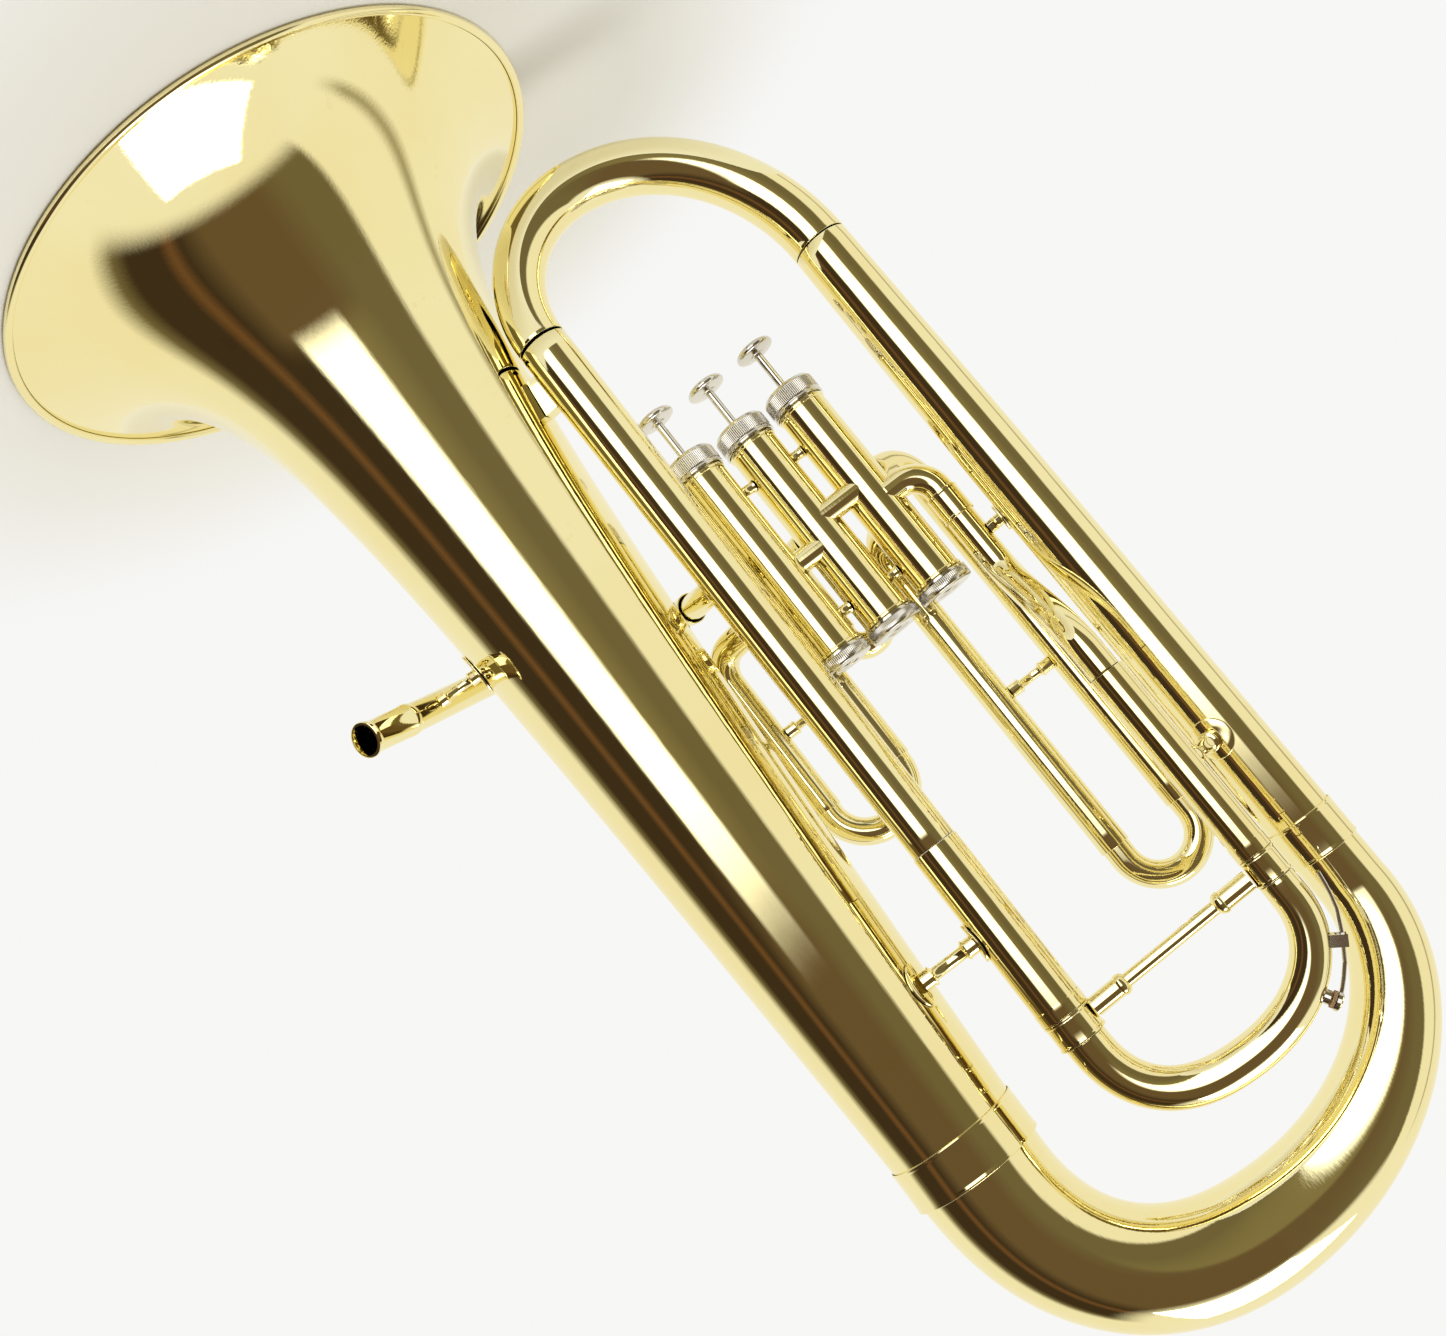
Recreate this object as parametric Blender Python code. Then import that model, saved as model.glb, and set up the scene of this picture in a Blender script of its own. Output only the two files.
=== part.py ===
"""Three-valve euphonium, standing on its bell as it is put down between pieces.

The frame is +Z up from the bell's mouth to the bottom bow, with the bell on the +X side
and the player's pipes towards -Y. Places are written as (across, back, up): across is the
distance from the bell's axis towards the outer branch, which is -X, back is +Y and up is +Z.
Lengths are metres.
"""
import math

import bmesh
import bpy
import numpy as np
from mathutils import Vector

# ---- clearances and walls -------------------------------------------------------------
GAP = 0.0003            # between pieces that touch
SLIDE_CLEARANCE = 0.0001  # round the inner leg of a slide and round a piston
WALL = 0.0007           # sheet brass of the bell, bows and branches
SLEEVE_WALL = 0.0006    # outer tube of a slide
FERRULE_WALL = 0.0009   # collar over a joint

# ---- bell ----------------------------------------------------------------------------
BELL_MOUTH_RADIUS = 0.140
RIM_WIRE_RADIUS = 0.0020
BELL_TOP = 0.5225       # joint with the bottom bow
BELL_TOP_RADIUS = 0.0292
BELL_TAPER = 0.045      # widening of the stem for each metre down
FLARE_DEPTH = 0.085
FLARE_POWER = 2.4
BELL_FERRULE_LENGTH = 0.0192

# ---- bottom bow and outer branch -------------------------------------------------------
SPAN = 0.1990           # bell axis to outer branch axis
BOW_SPRING = 0.5330     # where the bottom bow starts to bend
BOW_SUMMIT = 0.6205     # its centre line at the summit
BOW_SUMMIT_SHARE = 0.44
BOW_MIDDLE_RADIUS = 0.0237
BOW_BRANCH_RADIUS = 0.0150
BRANCH_TOP_RADIUS = 0.0137
BRANCH_EVEN = 0.2900     # the branch has reached its full width here
BRANCH_JOINT = 0.5065   # joint of the outer branch and the bottom bow
BRANCH_FERRULE_LENGTH = 0.0180

# ---- top bow and inner branch ----------------------------------------------------------
INNER_ACROSS = 0.0682
INNER_BACK = -0.0180
INNER_TOP_RADIUS = 0.0121
INNER_LOW_RADIUS = 0.0106
TOP_BOW_LEFT_SPRING = 0.1286
TOP_BOW_RIGHT_SPRING = 0.1656
TOP_BOW_LOWEST = 0.0736
TOP_BOW_SHARE = 0.405

# ---- main tuning slide -----------------------------------------------------------------
RIGHT_ACROSS = 0.1668
RIGHT_BACK = -0.0400
LEFT_SLEEVE_RADIUS = 0.0113
RIGHT_SLEEVE_RADIUS = 0.0080
LEFT_SLEEVE_START = 0.4146
LEFT_SLEEVE_END = 0.5014
RIGHT_SLEEVE_START = 0.4010
RIGHT_SLEEVE_END = 0.4940
COLLAR_LENGTH = 0.0124
CROOK_LEFT_RADIUS = 0.0096
CROOK_RIGHT_RADIUS = 0.0077
CROOK_SUMMIT = 0.5570    # centre line of the crook at its bend
CROOK_SHARE = 0.45
TUNING_LEG_INSERT = 0.0650
PULL_ROD_RADIUS = 0.0030
PULL_SOCKET_RADIUS = 0.0044
PULL_SOCKET_LENGTH = 0.0170

# ---- valves ------------------------------------------------------------------------------
FIRST_VALVE_ACROSS = 0.0893
FIRST_VALVE_BACK = 0.0080
SECOND_VALVE_ACROSS = 0.1180
VALVE_PITCH = 0.0288     # second valve to third valve
VALVE_BACK = 0.0160      # second and third valves
CASING_RADIUS = 0.0119
CASING_WALL = 0.0008
CASING_START = 0.2090
CASING_END = 0.3250
CAP_WALL = 0.0011
CAP_TOP = 0.2050
CAP_SKIRT = 0.0115
BOTTOM_CAP_SKIRT = 0.0064
BOTTOM_CAP_FLOOR = 0.0024
BOTTOM_VENT_RADIUS = 0.0020
PISTON_START = 0.2240
PISTON_END = 0.2970
PISTON_PORT = 0.2700
PISTON_FLOOR = 0.2820
PISTON_PORT_RADIUS = 0.0055
STEM_RADIUS = 0.0021
STEM_HOLE_RADIUS = 0.0031
BUTTON_RADIUS = 0.0098
BUTTON_THICKNESS = 0.0052
BUTTON_TOP = 0.1793
SPRING_RADIUS = 0.0075
SPRING_WIRE = 0.0005
SPRING_TURNS = 5

# ---- valve tubing --------------------------------------------------------------------------
TUBE_RADIUS = 0.0066     # inner legs and crooks of the valve slides
SLIDE_BACK = 0.0380      # plane of the three valve slides
FIRST_SLIDE = dict(left=0.0424, right=0.0820, left_port=0.2840, right_port=0.2680, bend=0.0140,
                   end=0.3725, lowest=0.3940, insert=0.0610)
SECOND_SLIDE = dict(left=0.0985, right=0.1175, left_port=0.2680, right_port=0.2850, bend=0.0110,
                    end=0.3105, lowest=0.3222, insert=0.0120)
THIRD_SLIDE = dict(left=0.1360, right=0.1730, left_port=0.2860, right_port=0.2610, bend=0.0140,
                   end=0.4640, lowest=0.4890, insert=0.0950)
KNUCKLE_RADIUS = 0.0058
FIRST_KNUCKLE = 0.2765
SECOND_KNUCKLE = 0.2655
LINK_RADIUS = 0.0026
LINK_HEIGHTS = (0.2340, 0.3060)
OUTLET = 0.2750
OUTLET_RADIUS = 0.0069
OUTLET_BEND = 0.0130
OUTLET_COLLAR = (0.2900, 0.3042)
NECK_BEND = (0.3300, 0.3900)

# ---- leadpipe ----------------------------------------------------------------------------
LEADPIPE_RADIUS = 0.0069 # at the receiver
LEADPIPE_PORT_RADIUS = 0.0062
RECEIVER_RADIUS = 0.0073
RECEIVER_BORE = 0.0060
RECEIVER_LENGTH = 0.0300
RECEIVER_MOUTH = (-0.0975, -0.0430, 0.2330)
RECEIVER_ANGLE = math.radians(55.5)  # from across towards the back
RECEIVER_STAY = 0.0420   # brace from the mouth
LEADPIPE_DIP = -0.07     # fall of the receiver's axis for each metre in
LEADPIPE_RING = 0.0565   # the leadpipe runs round the bell at this radius
LEADPIPE_WRAP = ((140, 0.2262), (112, 0.2300), (84, 0.2385), (56, 0.2500), (34, 0.2575))
LEADPIPE_PORT = 0.2643
FERRULE_SPAN = (16, 19)  # stations of the leadpipe under its collar

# ---- water key -----------------------------------------------------------------------------
KEY_SPOUT_SHARE = 0.700  # shares of the crook's length
KEY_HINGE_SHARE = 0.820
KEY_TIP_SHARE = 0.955
KEY_SPOUT_HEIGHT = 0.0026
KEY_SPOUT_RADIUS = 0.0030
KEY_HINGE_LIFT = 0.0042
KEY_TIP_LIFT = 0.0066
KEY_CUP_RADIUS = 0.0042
KEY_CORK_THICKNESS = 0.0014
KEY_PIN_RADIUS = 0.0009
KEY_BARREL_RADIUS = 0.0020
KEY_BARREL_LENGTH = 0.0046
KEY_CHEEK = 0.0012

# ---- braces ----------------------------------------------------------------------------------
ROD_RADIUS = 0.0022
BRACE_ROD_RADIUS = 0.0029
BELL_BRACE = 0.4568
BRANCH_BRACE = 0.4500
OUTLET_BRACE = 0.3170
FIRST_SLIDE_BRACE = 0.3320
THIRD_SLIDE_BRACE = 0.3800
BELL_SADDLE = 0.1480

COLOURS = {
    "lacquered_brass": (0.83, 0.66, 0.30, 0.16, 1.0),
    "nickel_silver": (0.74, 0.71, 0.67, 0.18, 1.0),
    "steel": (0.55, 0.55, 0.56, 0.30, 1.0),
    "cork": (0.55, 0.36, 0.20, 0.85, 0.0),
}


def bell_radius(up):
    """Outside radius of the bell: a straight taper plus a lip that dies away as a power."""
    from_mouth = up - RIM_WIRE_RADIUS
    stem = BELL_TOP_RADIUS + BELL_TAPER * (BELL_TOP - up)
    lip = (BELL_MOUTH_RADIUS - 2 * RIM_WIRE_RADIUS - GAP
           - BELL_TOP_RADIUS - BELL_TAPER * (BELL_TOP - RIM_WIRE_RADIUS))
    return stem + lip / (1 + from_mouth / FLARE_DEPTH) ** FLARE_POWER


BRANCH_FERRULE_RADIUS = BOW_BRANCH_RADIUS + GAP + FERRULE_WALL
BELL_X = (SPAN + BRANCH_FERRULE_RADIUS - BELL_MOUTH_RADIUS) / 2  # centres the whole width
CASING_BORE = CASING_RADIUS - CASING_WALL
CAP_RADIUS = CASING_RADIUS + GAP + CAP_WALL
SLEEVE_RADIUS = TUBE_RADIUS + SLIDE_CLEARANCE + SLEEVE_WALL
VALVES = ((FIRST_VALVE_ACROSS, FIRST_VALVE_BACK),
          (SECOND_VALVE_ACROSS, VALVE_BACK),
          (SECOND_VALVE_ACROSS + VALVE_PITCH, VALVE_BACK))


def at(across, back, up):
    """World point of a place given as distance across from the bell, back and up."""
    return Vector((BELL_X - across, back, up))


# ---- mesh helpers ----------------------------------------------------------------------------
def finish(obj, finish_name):
    """Give the object its own Principled material in the named finish."""
    red, green, blue, roughness, metallic = COLOURS[finish_name]
    material = bpy.data.materials.new(f"{obj.name}_{finish_name}")
    material.use_nodes = True
    shader = material.node_tree.nodes["Principled BSDF"]
    shader.inputs["Base Color"].default_value = (red, green, blue, 1)
    shader.inputs["Roughness"].default_value = roughness
    shader.inputs["Metallic"].default_value = metallic
    obj.data.materials.append(material)
    return obj


def skin(name, rings, finish_name, cyclic, origin=None):
    """Closed solid through a row of rings; cyclic joins the last ring to the first, or ends are capped."""
    middle = sum((Vector(p) for p in rings[0]), Vector()) / len(rings[0])
    origin = middle if origin is None else Vector(origin)
    bm = bmesh.new()
    loops = [[bm.verts.new(Vector(p) - origin) for p in ring] for ring in rings]
    count = len(loops[0])
    steps = len(loops) if cyclic else len(loops) - 1
    for i in range(steps):
        here, there = loops[i], loops[(i + 1) % len(loops)]
        for j in range(count):
            k = (j + 1) % count
            bm.faces.new((here[j], here[k], there[k], there[j]))
    if not cyclic:
        bm.faces.new(loops[0])
        bm.faces.new(loops[-1])
    bmesh.ops.recalc_face_normals(bm, faces=bm.faces)
    mesh = bpy.data.meshes.new(name)
    bm.to_mesh(mesh)
    bm.free()
    mesh.shade_smooth()
    mesh.set_sharp_from_angle(angle=math.radians(35))
    obj = bpy.data.objects.new(name, mesh)
    obj.location = origin
    bpy.context.collection.objects.link(obj)
    return finish(obj, finish_name)


def frames(points, reference):
    """Unit side vectors along a path, carried without twist from the reference direction."""
    points = np.array([tuple(p) for p in points], dtype=float)
    tangents = np.gradient(points, axis=0)
    tangents /= np.linalg.norm(tangents, axis=1)[:, None]
    side = Vector(reference)
    before = Vector(tangents[0])
    side -= before * side.dot(before)
    side.normalize()
    firsts = []
    for tangent in tangents:
        side.rotate(before.rotation_difference(Vector(tangent)))
        before = Vector(tangent)
        firsts.append(tuple(side))
    firsts = np.array(firsts)
    return points, firsts, np.cross(tangents, firsts)


def rings_along(points, radii, sides, reference):
    """Rings of the given radii, square to the path."""
    points, firsts, seconds = frames(points, reference)
    angles = np.arange(sides) * 2 * math.pi / sides
    cosines, sines = np.cos(angles)[None, :, None], np.sin(angles)[None, :, None]
    circle = cosines * firsts[:, None, :] + sines * seconds[:, None, :]
    return points[:, None, :] + np.asarray(radii)[:, None, None] * circle


def tube(name, points, radii, wall=WALL, finish_name="lacquered_brass", sides=16, reference=(0, 1, 0)):
    """Open tube: outer rings out along the path, inner rings back."""
    radii = np.asarray(radii, dtype=float)
    outer = rings_along(points, radii, sides, reference)
    inner = rings_along(points, radii - wall, sides, reference)[::-1]
    return skin(name, list(outer) + list(inner), finish_name, cyclic=True)


def rod(name, points, radii, finish_name="lacquered_brass", sides=12, reference=(0, 0, 1)):
    """Solid round bar along the path, its ends capped."""
    return skin(name, list(rings_along(points, radii, sides, reference)), finish_name, cyclic=False)


def turned(name, place, profile, finish_name, sides=20):
    """Ring turned about a vertical axis from a closed profile of (radius, up) points."""
    angles = np.arange(sides) * 2 * math.pi / sides
    rings = [[(place[0] + r * math.sin(a), place[1] + r * math.cos(a), up) for a in angles]
             for r, up in profile]
    return skin(name, rings, finish_name, cyclic=True, origin=(place[0], place[1], profile[0][1]))


def turned_solid(name, place, profile, finish_name, sides=20):
    """Solid turned about a vertical axis, capped by flat discs at both ends of the profile."""
    angles = np.arange(sides) * 2 * math.pi / sides
    rings = [[(place[0] + r * math.sin(a), place[1] + r * math.cos(a), up) for a in angles]
             for r, up in profile]
    return skin(name, rings, finish_name, cyclic=False, origin=(place[0], place[1], profile[0][1]))


def helper(obj):
    """Turn the object into a guide that only shapes other pieces."""
    obj.hide_render = True
    obj.display_type = "WIRE"
    return obj


def boolean(obj, other, operation):
    modifier = obj.modifiers.new(f"{operation.lower()}_{other.name}", "BOOLEAN")
    modifier.operation = operation
    modifier.solver = "EXACT"
    modifier.object = other
    return obj


def cut(obj, *cutters):
    for cutter in cutters:
        boolean(obj, cutter, "DIFFERENCE")
    return obj


def weld(obj, *others):
    for other in others:
        boolean(obj, helper(other), "UNION")
    return obj


# ---- paths --------------------------------------------------------------------------------------
def between(start, end, count=2):
    return [Vector(start).lerp(Vector(end), i / (count - 1)) for i in range(count)]


def even(points, count):
    """The same path with its points spread evenly along it."""
    points = np.array([tuple(p) for p in points])
    travelled = np.concatenate([[0], np.cumsum(np.linalg.norm(np.diff(points, axis=0), axis=1))])
    wanted = np.linspace(0, travelled[-1], count)
    return [Vector([np.interp(w, travelled, points[:, k]) for k in range(3)]) for w in wanted]


def bow(start, end, share, summit, powers=(2.0, 2.0), count=25):
    """Bend over a summit reached at a share of the way, each side a quarter of a superellipse."""
    start, end = Vector(start), Vector(end)
    path = []
    for i in range(121):
        angle = math.pi * i / 120
        rising = i <= 60
        power = 2 / powers[0 if rising else 1]
        reach = abs(math.cos(angle)) ** power
        along = share * (1 - reach) if rising else share + (1 - share) * reach
        foot = start.z if rising else end.z
        point = start.lerp(end, along)
        point.z = foot + (summit - foot) * abs(math.sin(angle)) ** power
        path.append(point)
    return even(path, count)


def half_turn(start, end, rise, count=17):
    """Half of an ellipse from start to end, bulging upwards by rise (downwards when negative)."""
    start, end = Vector(start), Vector(end)
    path = []
    for i in range(count):
        angle = math.pi * i / (count - 1)
        point = start.lerp(end, (1 - math.cos(angle)) / 2)
        point.z += rise * math.sin(angle)
        path.append(point)
    return path


def smooth(points, per_span=4):
    """Catmull-Rom curve through the points."""
    points = [Vector(p) for p in points]
    padded = [2 * points[0] - points[1]] + points + [2 * points[-1] - points[-2]]
    path = []
    for a, b, c, d in zip(padded, padded[1:], padded[2:], padded[3:]):
        for i in range(per_span):
            t = i / per_span
            path.append(0.5 * (2 * b + (c - a) * t + (2 * a - 5 * b + 4 * c - d) * t ** 2
                               + (3 * b - a - 3 * c + d) * t ** 3))
    return path + [points[-1]]


def taper(points, start, end):
    """Radii that change evenly along the path."""
    steps = [0.0] + [(b - a).length for a, b in zip(points, points[1:])]
    travelled = np.cumsum(steps)
    return start + (end - start) * travelled / travelled[-1]


# ---- bell and bows ----------------------------------------------------------------------------
def make_bell():
    sides, stations = 36, 13
    ups = [RIM_WIRE_RADIUS + (BELL_TOP - GAP / 2 - RIM_WIRE_RADIUS) * (i / stations) ** 2.1
           for i in range(stations + 1)]
    outer, inner = [], []
    for up in ups:
        slope = (bell_radius(up + 1e-5) - bell_radius(up - 1e-5)) / 2e-5
        normal = Vector((1, -slope)).normalized()
        outer.append((bell_radius(up), up))
        inner.append((bell_radius(up) - WALL * normal.x, up - WALL * normal.y))
    turned("bell", (BELL_X, 0), outer + inner[::-1], "lacquered_brass", sides)

    wire = BELL_MOUTH_RADIUS - RIM_WIRE_RADIUS
    corner = RIM_WIRE_RADIUS / math.cos(math.pi / 8)
    octagon = [(wire + corner * math.cos(a), RIM_WIRE_RADIUS + corner * math.sin(a))
               for a in (math.pi / 8 + i * math.pi / 4 for i in range(8))]
    turned("bell_rim_wire", (BELL_X, 0), octagon, "lacquered_brass", sides)

    low, high = BELL_TOP - BELL_FERRULE_LENGTH / 2, BELL_TOP + BELL_FERRULE_LENGTH / 2
    bore = bell_radius(low) + GAP
    turned("bell_ferrule", (BELL_X, 0),
           [(bore, low), (bore + FERRULE_WALL, low), (bore + FERRULE_WALL, high), (bore, high)],
           "lacquered_brass", sides)

    reach = [(bell_radius(up) + GAP, up) for up in ups if up > 0.05]
    helper(turned_solid("bell_cutter", (BELL_X, 0), reach, "steel", sides))


def make_bows():
    bend = bow(at(0, 0, BOW_SPRING), at(SPAN, 0, BOW_SPRING), BOW_SUMMIT_SHARE, BOW_SUMMIT, (2.3, 2.0), 17)
    path = between(at(0, 0, BELL_TOP + GAP / 2), bend[0], 3)[:-1] + bend
    path += between(bend[-1], at(SPAN, 0, BRANCH_JOINT + GAP / 2), 3)[1:]
    straight = 2
    radii = np.full(len(path), BELL_TOP_RADIUS)
    travelled = taper(bend, 0, 1)
    radii[straight:straight + len(bend)] = np.interp(
        travelled, [0, 0.45, 1], [BELL_TOP_RADIUS, BOW_MIDDLE_RADIUS, BOW_BRANCH_RADIUS])
    radii[straight + len(bend):] = BOW_BRANCH_RADIUS
    tube("bottom_bow", path, radii, sides=20)

    half = BRANCH_FERRULE_LENGTH / 2
    bore = BOW_BRANCH_RADIUS + GAP
    collar = between(at(SPAN, 0, BRANCH_JOINT - half), at(SPAN, 0, BRANCH_JOINT + half))
    tube("bow_ferrule", collar, [bore + FERRULE_WALL] * 2, FERRULE_WALL, sides=24)

    branch = [at(SPAN, 0, up) for up in (TOP_BOW_RIGHT_SPRING + GAP / 2, BRANCH_EVEN, BRANCH_JOINT - GAP / 2)]
    tube("outer_branch", branch, [BRANCH_TOP_RADIUS, BOW_BRANCH_RADIUS, BOW_BRANCH_RADIUS], sides=24)
    helper(rod("outer_branch_cutter", branch[1:], [BOW_BRANCH_RADIUS + GAP] * 2, "steel", 24, (0, 1, 0)))

    bend = bow(at(INNER_ACROSS, INNER_BACK, TOP_BOW_LEFT_SPRING), at(SPAN, 0, TOP_BOW_RIGHT_SPRING - 2 * GAP),
               TOP_BOW_SHARE, TOP_BOW_LOWEST, (2.0, 2.0), 17)
    path = [bend[0] + Vector((0, 0, GAP * 4))] + bend + [at(SPAN, 0, TOP_BOW_RIGHT_SPRING - GAP / 2)]
    tube("top_bow", path, taper(path, INNER_TOP_RADIUS, BRANCH_TOP_RADIUS), sides=16)

    inner = between(at(INNER_ACROSS, INNER_BACK, TOP_BOW_LEFT_SPRING + GAP * 5),
                    at(INNER_ACROSS, INNER_BACK, LEFT_SLEEVE_START - GAP / 2))
    radii = [INNER_TOP_RADIUS, INNER_LOW_RADIUS]
    tube("inner_branch", inner, radii, sides=20)
    helper(rod("inner_branch_cutter", inner, [r + GAP for r in radii], "steel", 20, (0, 1, 0)))


# ---- main tuning slide ---------------------------------------------------------------------------
def slide_leg(name, across, back, tip, sleeve_end, sleeve_radius, joint):
    """Inner leg of a slide with the collar that joins it to its crook beyond the sleeve."""
    leg = sleeve_radius - SLEEVE_WALL - SLIDE_CLEARANCE
    shoulder = sleeve_end + GAP
    points = [at(across, back, up) for up in (tip, shoulder, shoulder + GAP, joint)]
    return tube(name, points, [leg, leg, sleeve_radius, sleeve_radius], SLEEVE_WALL, sides=20)


def make_tuning_slide():
    axis = bpy.data.objects.new("tuning_slide_axis", None)
    left, right = (INNER_ACROSS, INNER_BACK), (RIGHT_ACROSS, RIGHT_BACK)
    axis.location = at(*left, LEFT_SLEEVE_END).lerp(at(*right, RIGHT_SLEEVE_END), 0.5)
    bpy.context.collection.objects.link(axis)
    sleeves = (("left", left, LEFT_SLEEVE_START, LEFT_SLEEVE_END, LEFT_SLEEVE_RADIUS),
               ("right", right, RIGHT_SLEEVE_START, RIGHT_SLEEVE_END, RIGHT_SLEEVE_RADIUS))
    for side, place, start, end, radius in sleeves:
        tube(f"tuning_sleeve_{side}", between(at(*place, start), at(*place, end)), [radius] * 2,
             SLEEVE_WALL, sides=20)
        past = between(at(*place, start), at(*place, end + 0.03))
        helper(rod(f"sleeve_{side}_cutter", past, [radius + GAP] * 2,
                   "steel", 20, (0, 1, 0)))
        leg = slide_leg(f"tuning_leg_{side}", *place, end - TUNING_LEG_INSERT, end, radius, end + COLLAR_LENGTH)
        hang(leg, axis)

    path = crook_path()
    radii = taper(path, CROOK_LEFT_RADIUS, CROOK_RIGHT_RADIUS)
    crook = tube("tuning_crook", path, radii, sides=16)
    crook_cutter = helper(rod("crook_cutter", path, radii + GAP, "steel", 16, (0, 1, 0)))
    hang(crook, axis)
    pull = brace("tuning_pull_brace", at(*left, LEFT_SLEEVE_END + 0.45 * COLLAR_LENGTH),
                 at(*right, RIGHT_SLEEVE_END + 0.55 * COLLAR_LENGTH), LEFT_SLEEVE_RADIUS, RIGHT_SLEEVE_RADIUS,
                 ("sleeve_left_cutter", "sleeve_right_cutter"),
                  PULL_ROD_RADIUS, PULL_SOCKET_RADIUS, PULL_SOCKET_LENGTH)
    hang(pull, axis)
    make_water_key(path, radii, crook, crook_cutter, axis)


def crook_path():
    left_up, right_up = LEFT_SLEEVE_END + COLLAR_LENGTH + GAP, RIGHT_SLEEVE_END + COLLAR_LENGTH + GAP
    spring = max(left_up, right_up) + 4 * GAP
    bend = bow(at(INNER_ACROSS, INNER_BACK, spring), at(RIGHT_ACROSS, RIGHT_BACK, spring), CROOK_SHARE,
               CROOK_SUMMIT, (2.4, 2.1), 17)
    return [at(INNER_ACROSS, INNER_BACK, left_up)] + bend + [at(RIGHT_ACROSS, RIGHT_BACK, right_up)]


# ---- water key ------------------------------------------------------------------------------------
def strip(name, points, outwards, sideways, widths, thicknesses, finish_name):
    """Flat bar along a path, its wide faces square to the outward directions."""
    rings = []
    for point, outward, width, thickness in zip(points, outwards, widths, thicknesses):
        corners = ((-1, -0.6), (-0.8, -1), (0.8, -1), (1, -0.6), (1, 0.6), (0.8, 1), (-0.8, 1), (-1, 0.6))
        rings.append([point + sideways * (a * width / 2) + outward * (b * thickness / 2) for a, b in corners])
    return skin(name, rings, finish_name, cyclic=False)


def block(name, centre, directions, sizes, finish_name="nickel_silver"):
    """Box about a centre with its edges along three directions."""
    a, b, c = (Vector(d).normalized() * (s / 2) for d, s in zip(directions, sizes))
    rings = [[centre + e * c + x * a + y * b for x, y in ((-1, -1), (1, -1), (1, 1), (-1, 1))] for e in (-1, 1)]
    return skin(name, rings, finish_name, cyclic=False)


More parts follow.
